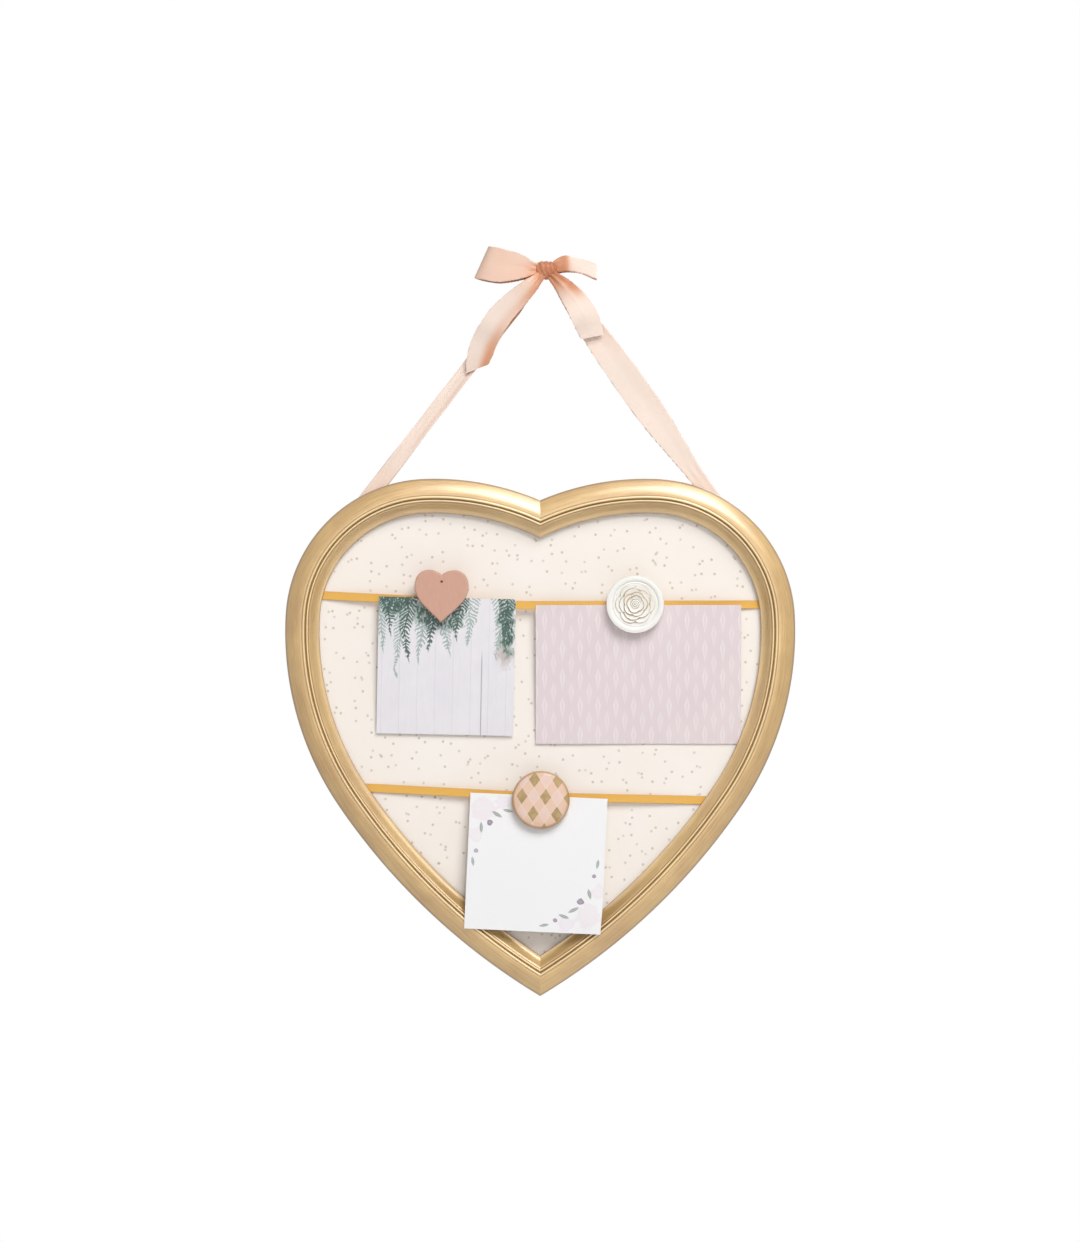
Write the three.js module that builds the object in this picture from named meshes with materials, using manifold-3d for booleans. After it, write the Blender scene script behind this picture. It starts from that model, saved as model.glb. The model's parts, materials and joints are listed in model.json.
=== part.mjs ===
// Heart-shaped photo display: a gilded moulding round a dotted cloth panel, two elastic bands
// across it, three small pegs that hold prints, and a ribbon tied in a bow to hang it by.
// Millimetres, +Z up, front towards -Y. The origin is where the ribbon hangs on its nail, in
// the plane of the wall. Depths are measured from the wall towards the front.

import * as THREE from 'three';
import { mergeVertices } from 'three/addons/utils/BufferGeometryUtils.js';
import Module from 'manifold-3d';

const wasm = await Module();
wasm.setup();

// Clearance between neighbours, and how far a cutter runs past the faces it cuts
const gap = 0.3;
const overrun = 5;

// Outer edge of the heart: four arcs on each side, from the cleft down to the tip
const cleftHeight = 361.6;
const cleftRise = 23.0;
const shoulderRadius = 197.0;
const shoulderTurn = 25.4;
const lobeRadius = 105.2;
const lobeTurn = 84.6;
const flankRadius = 226.5;
const flankTurn = 37.3;
const sideRadius = 470.4;
const arcSteps = [5, 14, 6, 8];

// Moulding, in section: inset from the outer edge, and depth from the wall
const frameWidth = 25.0;
const crestDepth = 20.0;
const crestInset = 13.6;
const edgeDepth = 13.0;
const edgeEase = 0.8;
const shoulderInset = 1.4;
const shoulderDepth = 15.0;
const grooveInset = 15.0;
const grooveDepth = 17.8;
const beadInset = 16.3;
const beadDepth = 18.6;
const coveInset = 17.4;
const coveDepth = 16.6;
const lipFrontDepth = 11.2;
const lipBackDepth = 9.0;
const rebateInset = 15.5;
const ledgeInset = 7.5;
const ledgeDepth = 3.0;
const bandSteps = 5;
const coveSteps = 5;

// Panel and its cloth face
const panelThickness = 4.0;
const clothThickness = 0.4;
const panelEdgeGap = 1.7;

// Elastic bands
const bandWidth = 6.0;
const bandThickness = 0.8;
const bandStandOff = 13.0;
const bandTuck = 20.0;
const notchDepth = 2.5;
const notchClearance = 1.0;
// Heights of each band at its ends and where it bends, as drops from the cleft
const upperDrops = { left: 69.5, kink: 76.7, right: 76.2 };
const lowerDrops = { left: 210.1, kink: 216.4, right: 219.2 };
const upperBand = { ...bandHeights(upperDrops), kinkX: -11.0, flat: [-98.0, 84.0] };
const lowerBand = { ...bandHeights(lowerDrops), kinkX: 0.6, flat: [-8.0, 9.0] };

function bandHeights({ left, kink, right }) {
  return { left: cleftHeight - left, kink: cleftHeight - kink, right: cleftHeight - right };
}

// Mini pegs
const legWidth = 7.0;
const legThickness = 3.0;
const noseDrop = 11.5;
const noseTaper = 2.0;
const noseBevel = 0.8;
const handleRise = 17.5;
const handleTip = 1.4;
const coilRise = 7.0;
const coilRadius = 1.5;
const wireRadius = 0.4;
const coilTurns = 4.5;
const coilSides = 8;
const wireSides = 5;
const legNotchSteps = 6;
const armDrop = 3.6;
const armReach = 2.3;
const jawSlack = 0.2;

// Prints
const printThickness = 0.4;
const photoWidth = 100.0;
const photoHeight = 100.0;
const lilacWidth = 150.0;
const lilacHeight = 101.5;
const floralWidth = 100.0;
const floralHeight = 99.0;
const photoRestGap = 1.8;
const lilacRestGap = 0.5;
const crestGap = 1.1;

// Charms on the pegs
const heartCharmWidth = 39.4;
const heartCharmHeight = 38.7;
const heartCharmThickness = 4.0;
const heartCharmEase = 1.1;
const discRadius = 21.0;
const discRim = 2.6;
const discEdge = 0.7;
const roseHeight = 5.4;
const latticeHeight = 4.2;

// Turn buttons and their screws
const buttonWidth = 6.0;
const buttonReach = 10.0;
const buttonThickness = 1.1;
const buttonInset = 11.5;
const buttonSegments = 6;
const screwSides = 14;
const screwHeadRadius = 2.4;
const screwHeadThickness = 1.0;
const screwCrownShare = 0.7;
const screwRadius = 1.2;
const screwLength = 8.0;
const screwGap = 0.1;

// Corrugated fasteners across the mitres
const waveLength = 12.0;
const waveHeight = 1.0;
const waveThickness = 0.6;
const waveDepth = 7.0;
const waveInset = 5.5;
const tipFastenerShift = 4.0;
const waveCount = 3;

// Ribbon, its channels and its staples
const ribbonWidth = 25.0;
const ribbonThickness = 0.7;
const footAngle = 67.0;
const footTuck = 16.0;
const footWidthShare = 0.46;
const channelDepth = 2.2;
const channelClearance = 1.0;
const stapleCrown = 8.0;
const stapleWire = 0.5;
const stapleLeg = 5.0;
const stapleTuck = 8.5;
const knotX = 4.5;
const knotRise = 529.5;
const knotDepth = 11.5;
const knotHalfWidth = 8.5;
const knotHalfHeight = 6.5;
const knotHalfDepth = 5.5;
const strandEndSpread = 0.4;
const strandEndDrop = 0.25;
const strandDepthShare = 0.62;
const tailUnitShare = 0.1646;
const nailRise = 520.0;

const radians = THREE.MathUtils.degToRad;
const lerp = THREE.MathUtils.lerp;

const clothBack = ledgeDepth + panelThickness;
const clothFront = clothBack + clothThickness;
const panelInset = rebateInset + panelEdgeGap;

// The heart's outline as arcs: centre, radius and the angles between which each one runs.
// An inset line has the same centres and smaller radii, and ends on the line of symmetry.
const arcs = [];
{
  const turns = [shoulderTurn, lobeTurn, flankTurn, 0];
  let heading = radians(cleftRise);
  let start = new THREE.Vector2(0, cleftHeight);
  [shoulderRadius, lobeRadius, flankRadius, sideRadius].forEach((radius, index) => {
    const normal = new THREE.Vector2(Math.sin(heading), -Math.cos(heading));
    const centre = start.clone().addScaledVector(normal, radius);
    const from = heading + Math.PI / 2;
    const to = from - radians(turns[index]);
    arcs.push({ centre, radius, from, to, steps: arcSteps[index] });
    start = centre.clone().add(new THREE.Vector2(Math.cos(to), Math.sin(to)).multiplyScalar(radius));
    heading -= radians(turns[index]);
  });
}

function outlinePoint(index, share, inset) {
  const { centre, radius, from, to } = arcs[index];
  const r = radius - inset;
  const first = index === 0 ? Math.acos(-centre.x / r) : from;
  const last = index === arcs.length - 1 ? -Math.acos(-centre.x / r) : to;
  const angle = lerp(first, last, share);
  return new THREE.Vector2(centre.x + r * Math.cos(angle), centre.y + r * Math.sin(angle));
}

// One side of the heart at an inset, from cleft to tip, side = 1 on the right and -1 on the left
function sideLine(inset, side) {
  const points = [];
  arcs.forEach(({ steps }, index) => {
    for (let k = index === 0 ? 0 : 1; k <= steps; k += 1) {
      const point = outlinePoint(index, k / steps, inset);
      const onAxis = (index === 0 && k === 0) || (index === arcs.length - 1 && k === steps);
      points.push(new THREE.Vector2(onAxis ? 0 : side * point.x, point.y));
    }
  });
  return points;
}

// Distance from the line of symmetry to the outline at a height below the widest place
function edgeAt(height, inset) {
  const spans = arcs.slice(1).filter(({ centre, radius, to }, index) => {
    const low = index === arcs.length - 2 ? -radius : (radius - inset) * Math.sin(to);
    return height - centre.y >= low;
  });
  const { centre, radius } = spans[0];
  return centre.x + Math.sqrt((radius - inset) ** 2 - (height - centre.y) ** 2);
}

// Closed geometry helpers
function volumeOf(geometry) {
  const flat = geometry.index ? geometry.toNonIndexed() : geometry;
  const p = flat.attributes.position;
  const [a, b, c] = [new THREE.Vector3(), new THREE.Vector3(), new THREE.Vector3()];
  let sum = 0;
  for (let i = 0; i < p.count; i += 3) {
    a.fromBufferAttribute(p, i);
    b.fromBufferAttribute(p, i + 1);
    c.fromBufferAttribute(p, i + 2);
    sum += a.dot(b.cross(c)) / 6;
  }
  return sum;
}

function outward(geometry) {
  if (volumeOf(geometry) > 0) return geometry;
  const flat = geometry.index ? geometry.toNonIndexed() : geometry;
  const p = flat.attributes.position;
  const flipped = new Float32Array(p.array.length);
  for (let i = 0; i < p.count; i += 3) {
    [0, 2, 1].forEach((from, to) => {
      flipped.set(p.array.slice(3 * (i + from), 3 * (i + from + 1)), 3 * (i + to));
    });
  }
  const result = new THREE.BufferGeometry();
  result.setAttribute('position', new THREE.BufferAttribute(flipped, 3));
  result.computeVertexNormals();
  return result;
}

// A skin over rings that each hold one closed section, with its ends filled by the section
function loft(rings, firstSection, lastSection) {
  const count = rings[0].length;
  const positions = rings.flat().flatMap((point) => [point.x, point.y, point.z]);
  const index = [];
  for (let i = 0; i + 1 < rings.length; i += 1) {
    for (let j = 0; j < count; j += 1) {
      const next = (j + 1) % count;
      const [a, b] = [i * count + j, i * count + next];
      index.push(a, b, b + count, a, b + count, a + count);
    }
  }
  const cap = (section, base, along) => {
    const way = Math.sign(THREE.ShapeUtils.area(section)) * along;
    THREE.ShapeUtils.triangulateShape(section, []).forEach(([a, b, c]) => {
      const same = Math.sign(THREE.ShapeUtils.area([section[a], section[b], section[c]])) === way;
      index.push(base + a, base + (same ? b : c), base + (same ? c : b));
    });
  };
  cap(firstSection, 0, -1);
  cap(lastSection, (rings.length - 1) * count, 1);
  const geometry = new THREE.BufferGeometry();
  geometry.setAttribute('position', new THREE.BufferAttribute(new Float32Array(positions), 3));
  geometry.setIndex(index);
  geometry.computeVertexNormals();
  return outward(geometry);
}

function toSolid(geometry) {
  const plain = geometry.clone();
  plain.deleteAttribute('normal');
  plain.deleteAttribute('uv');
  const merged = mergeVertices(plain);
  const corners = merged.index.array;
  const kept = [];
  for (let i = 0; i < corners.length; i += 3) {
    const [a, b, c] = [corners[i], corners[i + 1], corners[i + 2]];
    if (a !== b && b !== c && c !== a) kept.push(a, b, c);
  }
  return new wasm.Manifold(new wasm.Mesh({
    numProp: 3,
    vertProperties: new Float32Array(merged.attributes.position.array),
    triVerts: new Uint32Array(kept),
  }));
}

function toGeometry(solid) {
  const mesh = solid.getMesh();
  const geometry = new THREE.BufferGeometry();
  geometry.setAttribute('position', new THREE.BufferAttribute(mesh.vertProperties, 3));
  geometry.setIndex(new THREE.BufferAttribute(mesh.triVerts, 1));
  geometry.computeVertexNormals();
  return geometry;
}

function cut(geometry, cutters) {
  let solid = toSolid(geometry);
  cutters.forEach((cutter) => {
    solid = solid.subtract(toSolid(cutter));
  });
  return toGeometry(solid);
}

// A flat piece that faces the front: its outline is drawn in X and Z
function slab(shape, back, front, curveSegments = 12) {
  const geometry = new THREE.ExtrudeGeometry(shape, {
    depth: front - back,
    bevelEnabled: false,
    curveSegments,
  });
  geometry.rotateX(Math.PI / 2);
  geometry.translate(0, -back, 0);
  return geometry;
}

// A piece with one outline across its whole width: the outline is drawn in Y and Z
function widthways(points, width) {
  const geometry = new THREE.ExtrudeGeometry(new THREE.Shape(points), { depth: width, bevelEnabled: false });
  geometry.translate(0, 0, -width / 2);
  const turn = new THREE.Matrix4().makeBasis(
    new THREE.Vector3(0, 1, 0),
    new THREE.Vector3(0, 0, 1),
    new THREE.Vector3(1, 0, 0),
  );
  return geometry.applyMatrix4(turn);
}

function block(minimum, maximum) {
  const size = maximum.clone().sub(minimum);
  const geometry = new THREE.BoxGeometry(size.x, size.y, size.z);
  const middle = minimum.clone().add(maximum).multiplyScalar(1 / 2);
  return geometry.translate(middle.x, middle.y, middle.z);
}

// A turned piece whose axis points to the front: its profile is radius and depth
function turned(profile, sides) {
  const points = profile.map(([radius, depth]) => new THREE.Vector2(radius, -depth));
  return outward(new THREE.LatheGeometry(points, sides));
}

function bored(radius, from, to, sides = 12) {
  return turned([[0, from], [radius, from], [radius, to], [0, to]], sides);
}

// Materials
function finish(colour, roughness, metalness = 0) {
  return new THREE.MeshStandardMaterial({ color: colour, roughness, metalness });
}
const gilt = () => finish(0xc9a667, 0.42, 0.55);
const zinc = () => finish(0xb9babb, 0.4, 0.9);
const brassWire = () => finish(0xb89a5c, 0.35, 0.9);
const board = () => finish(0xa98f6d, 0.85);
const dottedCloth = () => finish(0xf4ebe2, 0.9);
const mustard = () => finish(0xe2b066, 0.75);
const satin = () => finish(0xf0cdbb, 0.45);
const birch = () => finish(0xdcc39b, 0.7);
const pinkWood = () => finish(0xcd9f8f, 0.6);
const whiteResin = () => finish(0xf0ede6, 0.5);
const latticePaper = () => finish(0xd9b49c, 0.45);
const photoPaper = () => finish(0xd9dadd, 0.35);
const lilacPaper = () => finish(0xe2d2d6, 0.6);
const whitePaper = () => finish(0xf1f0f0, 0.6);

const group = new THREE.Group();
const heart = new THREE.Group();
heart.position.z = -nailRise;
group.add(heart);

function piece(name, geometry, material, parent = heart) {
  const mesh = new THREE.Mesh(geometry, material);
  mesh.name = name;
  parent.add(mesh);
  return mesh;
}

// Section of the moulding, once round
function mouldingSection() {
  const points = [[edgeEase, 0], [0, edgeEase], [0, edgeDepth]];
  for (let k = 0; k <= bandSteps; k += 1) {
    const share = k / bandSteps;
    points.push([
      lerp(shoulderInset, crestInset, share),
      lerp(shoulderDepth, crestDepth, Math.sin((share * Math.PI) / 2)),
    ]);
  }
  points.push([grooveInset, grooveDepth]);
  points.push([beadInset, beadDepth]);
  for (let k = 0; k <= coveSteps; k += 1) {
    const share = k / coveSteps;
    points.push([
      lerp(coveInset, frameWidth, share),
      lerp(coveDepth, lipFrontDepth, Math.sin((share * Math.PI) / 2)),
    ]);
  }
  points.push([frameWidth, lipBackDepth]);
  points.push([rebateInset, lipBackDepth]);
  points.push([rebateInset, ledgeDepth]);
  points.push([ledgeInset, ledgeDepth]);
  points.push([ledgeInset, 0]);
  return points.map(([inset, depth]) => new THREE.Vector2(inset, depth));
}

function railGeometry(side) {
  const section = mouldingSection();
  const lines = section.map(({ x }) => sideLine(x, side));
  const rings = lines[0].map((unused, station) => section.map(({ y }, k) => {
    const point = lines[k][station];
    return new THREE.Vector3(point.x, -y, point.y);
  }));
  const capAt = (station) => section.map(({ y }, k) => new THREE.Vector2(lines[k][station].y, y));
  return loft(rings, capAt(0), capAt(rings.length - 1));
}

// Where the turn buttons pivot: halfway along the first and the last arc of each side
const buttonShare = 0.5;
const buttonPlaces = {
  upper_left: [0, -1],
  upper_right: [0, 1],
  lower_left: [arcs.length - 1, -1],
  lower_right: [arcs.length - 1, 1],
};
const buttonBack = ledgeDepth - gap - buttonThickness;
const screwBack = buttonBack - screwGap - screwHeadThickness;
const screwEnd = buttonBack - screwGap + screwLength;

// Frame of a place on the outline: X along the moulding, Z outwards
function outlineFrame([index, side], inset) {
  const point = outlinePoint(index, buttonShare, inset);
  const out = point.clone().sub(arcs[index].centre).normalize();
  const turn = Math.atan2(side * out.x, out.y);
  return new THREE.Matrix4()
    .makeTranslation(side * point.x, 0, point.y)
    .multiply(new THREE.Matrix4().makeRotationY(turn));
}

// Heights of the cleft's and tip's fasteners on the mitre lines
const fastenerHeights = {
  cleft: outlinePoint(0, 0, waveInset).y,
  tip: outlinePoint(arcs.length - 1, 1, waveInset + tipFastenerShift).y,
};

function fastenerPocket(height) {
  const halfHeight = waveHeight + waveThickness / 2 + gap;
  const halfLength = waveLength / 2 + gap;
  return block(
    new THREE.Vector3(-halfLength, -gap - waveDepth - gap, height - halfHeight),
    new THREE.Vector3(halfLength, overrun, height + halfHeight),
  );
}

function fastenerGeometry(height) {
  const steps = 4 * waveCount;
  const edge = (offset) => Array.from({ length: steps + 1 }, (unused, k) => new THREE.Vector2(
    lerp(-waveLength / 2, waveLength / 2, k / steps),
    height + waveHeight * Math.sin((k * Math.PI) / 2) + offset,
  ));
  const outline = [...edge(-waveThickness / 2), ...edge(waveThickness / 2).reverse()];
  return slab(new THREE.Shape(outline), gap, gap + waveDepth);
}

// Ribbon feet: where each strand leaves the moulding, and the line it takes to the knot
const ribbonFeet = {};
[['left', -1], ['right', 1]].forEach(([name, side]) => {
  const { centre, radius } = arcs[1];
  const foot = new THREE.Vector2(
    side * (centre.x + radius * Math.cos(radians(footAngle))),
    centre.y + radius * Math.sin(radians(footAngle)),
  );
  const knot = new THREE.Vector2(
    knotX + side * strandEndSpread * knotHalfWidth,
    knotRise - strandEndDrop * knotHalfHeight,
  );
  const run = knot.clone().sub(foot);
  ribbonFeet[name] = { foot, knot, run, side };
});
const footWidth = footWidthShare * ribbonWidth;
const ribbonBack = channelDepth - gap - ribbonThickness;

// Frame of a ribbon's foot: Z along the strand, X across it
function footFrame({ foot, run }) {
  return new THREE.Matrix4()
    .makeTranslation(foot.x, 0, foot.y)
    .multiply(new THREE.Matrix4().makeRotationY(Math.atan2(run.x, run.y)));
}

function channelCutter(place) {
  const half = footWidth / 2 + channelClearance;
  const box = block(
    new THREE.Vector3(-half, -channelDepth, -footTuck - channelClearance),
    new THREE.Vector3(half, overrun, ribbonWidth),
  );
  return box.applyMatrix4(footFrame(place));
}

function legCutters(place) {
  const half = stapleWire / 2 + gap;
  return [-1, 1].map((end) => {
    const middle = (end * (stapleCrown - stapleWire)) / 2;
    const legEnd = ribbonBack - gap + stapleLeg + gap;
    const box = block(
      new THREE.Vector3(middle - half, -legEnd, -stapleTuck - half),
      new THREE.Vector3(middle + half, overrun, -stapleTuck + half),
    );
    return box.applyMatrix4(footFrame(place));
  });
}

function stapleGeometry(place) {
  const crownBack = ribbonBack - gap - stapleWire;
  const legEnd = ribbonBack - gap + stapleLeg;
  const outer = stapleCrown / 2;
  const inner = outer - stapleWire;
  const crownFront = crownBack + stapleWire;
  const points = [
    [-outer, crownBack], [outer, crownBack], [outer, legEnd], [inner, legEnd],
    [inner, crownFront], [-inner, crownFront], [-inner, legEnd], [-outer, legEnd],
  ].map(([x, depth]) => new THREE.Vector2(x, -depth));
  const geometry = new THREE.ExtrudeGeometry(new THREE.Shape(points), {
    depth: stapleWire,
    bevelEnabled: false,
  });
  geometry.translate(0, 0, -stapleTuck - stapleWire / 2);
  return geometry.applyMatrix4(footFrame(place));
}

// Moulding halves with the pockets, holes and channels behind them
[['left', -1], ['right', 1]].forEach(([name, side]) => {
  const cutters = Object.values(fastenerHeights).map(fastenerPocket);
  Object.values(buttonPlaces).filter((place) => place[1] === side).forEach((place) => {
    const hole = bored(screwRadius + gap, -overrun, screwEnd + gap);
    cutters.push(hole.applyMatrix4(outlineFrame(place, buttonInset)));
  });
  cutters.push(channelCutter(ribbonFeet[name]), ...legCutters(ribbonFeet[name]));
  piece(`${name}_rail`, cut(railGeometry(side), cutters), gilt());
});
Object.entries(fastenerHeights).forEach(([name, height]) => {
  piece(`${name}_fastener`, fastenerGeometry(height), zinc());
});

// Panel and cloth, notched where the bands pass round the edge
function heartShape(inset) {
  const right = sideLine(inset, 1);
  const left = sideLine(inset, -1).reverse();
  return new THREE.Shape([...right, ...left.slice(1, -1)]);
}

function bandLevel(band, x) {
  const end = x < band.kinkX ? 'left' : 'right';
  const edge = edgeAt(band[end], frameWidth) * (end === 'left' ? -1 : 1);
  return lerp(band.kink, band[end], (x - band.kinkX) / (edge - band.kinkX));
}

// How far a band is turned from level at x, about an axis that points into the wall
function bandTurn(band, x) {
  const end = x < band.kinkX ? 'left' : 'right';
  const edge = edgeAt(band[end], frameWidth) * (end === 'left' ? -1 : 1);
  return -Math.atan((band[end] - band.kink) / (edge - band.kinkX));
}

// Bottom of the notch for one end of a band, as a distance from the line of symmetry
function notchFloor(band, end) {
  const level = band[end] - bandWidth / 2 - notchClearance;
  return edgeAt(level, panelInset) - notchDepth;
}

function notchCutters() {
  return [upperBand, lowerBand].flatMap((band) => ['left', 'right'].map((end) => {
    const side = end === 'left' ? -1 : 1;
    const floor = notchFloor(band, end);
    const level = bandLevel(band, side * floor);
    const half = bandWidth / 2 + notchClearance;
    const reach = floor + frameWidth;
    return block(
      new THREE.Vector3(Math.min(side * floor, side * reach), -clothFront - overrun, level - half),
      new THREE.Vector3(Math.max(side * floor, side * reach), overrun, level + half),
    );
  }));
}

const panel = heartShape(panelInset);
piece('backing_panel', cut(slab(panel, ledgeDepth, clothBack), notchCutters()), board());
piece('panel_cloth', cut(slab(panel, clothBack, clothFront), notchCutters()), dottedCloth());

// A band runs over the cloth, under the lip, round the panel's edge and back behind it
function bandGeometry(band) {
  const half = bandThickness / 2;
  const behind = ledgeDepth - gap - half;
  const before = clothFront + gap + half;
  const end = (name) => {
    const wrap = notchFloor(band, name) + gap + half;
    const lip = edgeAt(band[name], frameWidth);
    return [[wrap - bandTuck, behind], [wrap, behind], [wrap, before], [lip - bandThickness, before]];
  };
  const route = [
    ...end('left').map(([x, depth]) => [-x, depth]),
    [band.flat[0], bandStandOff],
    [band.kinkX, bandStandOff],
    [band.flat[1], bandStandOff],
    ...end('right').reverse(),
  ].map(([x, depth]) => new THREE.Vector2(x, -depth));
  const edge = (offset) => route.map((point, k) => {
    const previous = route[Math.max(k - 1, 0)];
    const after = route[Math.min(k + 1, route.length - 1)];
    const arrive = (k > 0 ? point.clone().sub(previous) : after.clone().sub(point)).normalize();
    const leave = (k + 1 < route.length ? after.clone().sub(point) : arrive.clone()).normalize();
    const mitre = new THREE.Vector2(-arrive.y - leave.y, arrive.x + leave.x).normalize();
    const spread = mitre.dot(new THREE.Vector2(-arrive.y, arrive.x));
    return point.clone().addScaledVector(mitre, offset / spread);
  });
  const outline = [...edge(-half), ...edge(half).reverse()];
  const geometry = new THREE.ExtrudeGeometry(new THREE.Shape(outline), {
    depth: bandWidth,
    bevelEnabled: false,
  });
  geometry.translate(0, 0, -bandWidth / 2);
  const position = geometry.attributes.position;
  for (let i = 0; i < position.count; i += 1) {
    position.setZ(i, position.getZ(i) + bandLevel(band, position.getX(i)));
  }
  return geometry;
}
piece('upper_band', bandGeometry(upperBand), mustard());
piece('lower_band', bandGeometry(lowerBand), mustard());

// Turn buttons on the ledge behind the moulding
function buttonGeometry() {
  const half = buttonWidth / 2;
  const shape = new THREE.Shape();
  shape.moveTo(-half, -buttonReach + half);
  shape.absarc(0, -buttonReach + half, half, Math.PI, 2 * Math.PI, false);
  shape.lineTo(half, 0);
  shape.absarc(0, 0, half, 0, Math.PI, false);
  const hole = new THREE.Path();
  hole.absarc(0, 0, screwRadius + gap, 0, 2 * Math.PI, true);
  shape.holes.push(hole);
  return slab(shape, buttonBack, buttonBack + buttonThickness, buttonSegments);
}

function screwGeometry() {
  const under = screwBack + screwHeadThickness;
  return turned([
    [0, screwBack], [screwHeadRadius * screwCrownShare, screwBack],
    [screwHeadRadius, screwBack + screwHeadThickness / 2], [screwHeadRadius, under],
    [screwRadius, under], [screwRadius, screwEnd - screwRadius], [0, screwEnd],
  ], screwSides);
}
Object.entries(buttonPlaces).forEach(([name, place]) => {
  const frame = outlineFrame(place, buttonInset);
  piece(`${name}_button`, buttonGeometry().applyMatrix4(frame), zinc());
  piece(`${name}_screw`, screwGeometry().applyMatrix4(frame), zinc());
});

// Mini peg: forward distances are from the band's middle, heights from its centre line
const jawBack = -(bandThickness / 2 + gap + jawSlack);
const printBack = bandThickness / 2 + gap + jawSlack;
const jawFront = printBack + printThickness + gap;
const jawMiddle = (jawBack + jawFront) / 2;
const jawHalf = (jawFront - jawBack) / 2;
const legOuter = jawHalf + legThickness;
const notchRadius = coilRadius + wireRadius + gap;
const armOut = legOuter - wireRadius;
const armX = legWidth / 2 + gap + wireRadius;

function legGeometry(side) {
  const halfChord = Math.sqrt(notchRadius ** 2 - jawHalf ** 2);
  const grooveHalf = wireRadius + gap;
  const grooveFloor = armOut - wireRadius - gap;
  const armHeight = coilRise - armDrop;
  const points = [
    [jawHalf + noseBevel, -noseDrop],
    [legOuter - noseBevel, -noseDrop],
    [legOuter, -noseDrop + noseTaper],
    [legOuter, armHeight - grooveHalf],
    [grooveFloor, armHeight - grooveHalf],
    [grooveFloor, armHeight + grooveHalf],
    [legOuter, armHeight + grooveHalf],
    [legOuter, handleRise],
    [legOuter - handleTip, handleRise],
  ];
  const swing = Math.atan2(halfChord, jawHalf);
  for (let k = 0; k <= legNotchSteps; k += 1) {
    const angle = lerp(swing, -swing, k / legNotchSteps);
    points.push([notchRadius * Math.cos(angle), coilRise + notchRadius * Math.sin(angle)]);
  }
  points.push([jawHalf, -noseDrop + noseTaper]);
  return widthways(
    points.map(([out, height]) => new THREE.Vector2(-(jawMiddle + side * out), height)),
    legWidth,
  );
}

// The spring: an arm on the back leg, turns across the peg, and an arm on the front leg
function springRoute() {
  const points = [];
  const at = (x, out, height) => points.push(new THREE.Vector3(x, -(jawMiddle + out), coilRise + height));
  at(armX - armReach, -armOut, -armDrop);
  at(armX - wireRadius, -armOut, -armDrop);
  at(armX, -armOut + wireRadius, -armDrop + wireRadius);
  at(armX, -(armOut + coilRadius) / 2, -armDrop / 2);
  const steps = coilSides * coilTurns;
  for (let k = 0; k <= steps; k += 1) {
    const angle = -Math.PI / 2 + (2 * Math.PI * k) / coilSides;
    const x = lerp(armX, -armX, k / steps);
    at(x, coilRadius * Math.sin(angle), coilRadius * Math.cos(angle));
  }
  at(-armX, (armOut + coilRadius) / 2, -armDrop / 2);
  at(-armX, armOut - wireRadius, -armDrop + wireRadius);
  at(-armX + wireRadius, armOut, -armDrop);
  at(-armX + armReach, armOut, -armDrop);
  return new THREE.CatmullRomCurve3(points);
}

function springGeometry() {
  const route = springRoute();
  const steps = Math.round(route.getLength() / (2 * Math.PI * coilRadius / coilSides));
  const shape = new THREE.Shape(Array.from({ length: wireSides }, (unused, k) => new THREE.Vector2(
    wireRadius * Math.cos((2 * Math.PI * k) / wireSides),
    wireRadius * Math.sin((2 * Math.PI * k) / wireSides),
  )));
  return new THREE.ExtrudeGeometry(shape, { steps, extrudePath: route, bevelEnabled: false });
}

const gapSamples = 400;
function printLeastGap(name, route, radius, apart) {
  const points = route.getSpacedPoints(gapSamples);
  const step = route.getLength() / gapSamples;
  let least = Infinity;
  points.forEach((a, i) => points.slice(i + Math.ceil(apart / step)).forEach((b) => {
    least = Math.min(least, a.distanceTo(b));
  }));
  console.log(`${name}: least gap of the wire to itself ${(least - 2 * radius).toFixed(2)} mm`);
}
printLeastGap('peg spring', springRoute(), wireRadius, Math.PI * coilRadius);

// One side of the heart charm from cleft to tip and the other back, in shares of its size
const heartCharmCleft = 0.36;
const heartCharmCurves = [
  [0.08, 0.5, 0.5, 0.6, 0.5, 0.16],
  [0.5, -0.1, 0.14, -0.34, 0, -0.5],
  [-0.14, -0.34, -0.5, -0.1, -0.5, 0.16],
  [-0.5, 0.6, -0.08, 0.5, 0, heartCharmCleft],
];

function heartCharmGeometry() {
  const [w, h] = [heartCharmWidth - 2 * heartCharmEase, heartCharmHeight - 2 * heartCharmEase];
  const shape = new THREE.Shape();
  shape.moveTo(0, heartCharmCleft * h);
  heartCharmCurves.forEach((shares) => {
    shape.bezierCurveTo(...shares.map((share, k) => share * (k % 2 === 0 ? w : h)));
  });
  const geometry = new THREE.ExtrudeGeometry(shape, {
    depth: heartCharmThickness - 2 * heartCharmEase,
    bevelSize: heartCharmEase,
    bevelThickness: heartCharmEase,
    bevelSegments: 2,
    curveSegments: 9,
  });
  geometry.rotateX(Math.PI / 2);
  geometry.translate(0, -heartCharmEase, 0);
  return geometry;
}

// Raised rim, a hollow inside it and petals stepping up to the middle. The inner steps are
// shares of the disc's radius, and of the depth of the rim or of the rose.
const discSides = 36;
const rimCrestShare = 0.9;
const roseHollowShares = [0.84, 0.74];
const rosePetalShares = [
  [0.66, 0.66], [0.5, 0.7], [0.42, 0.84], [0.22, 0.9], [0.14, 1], [0, 1],
];

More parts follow.
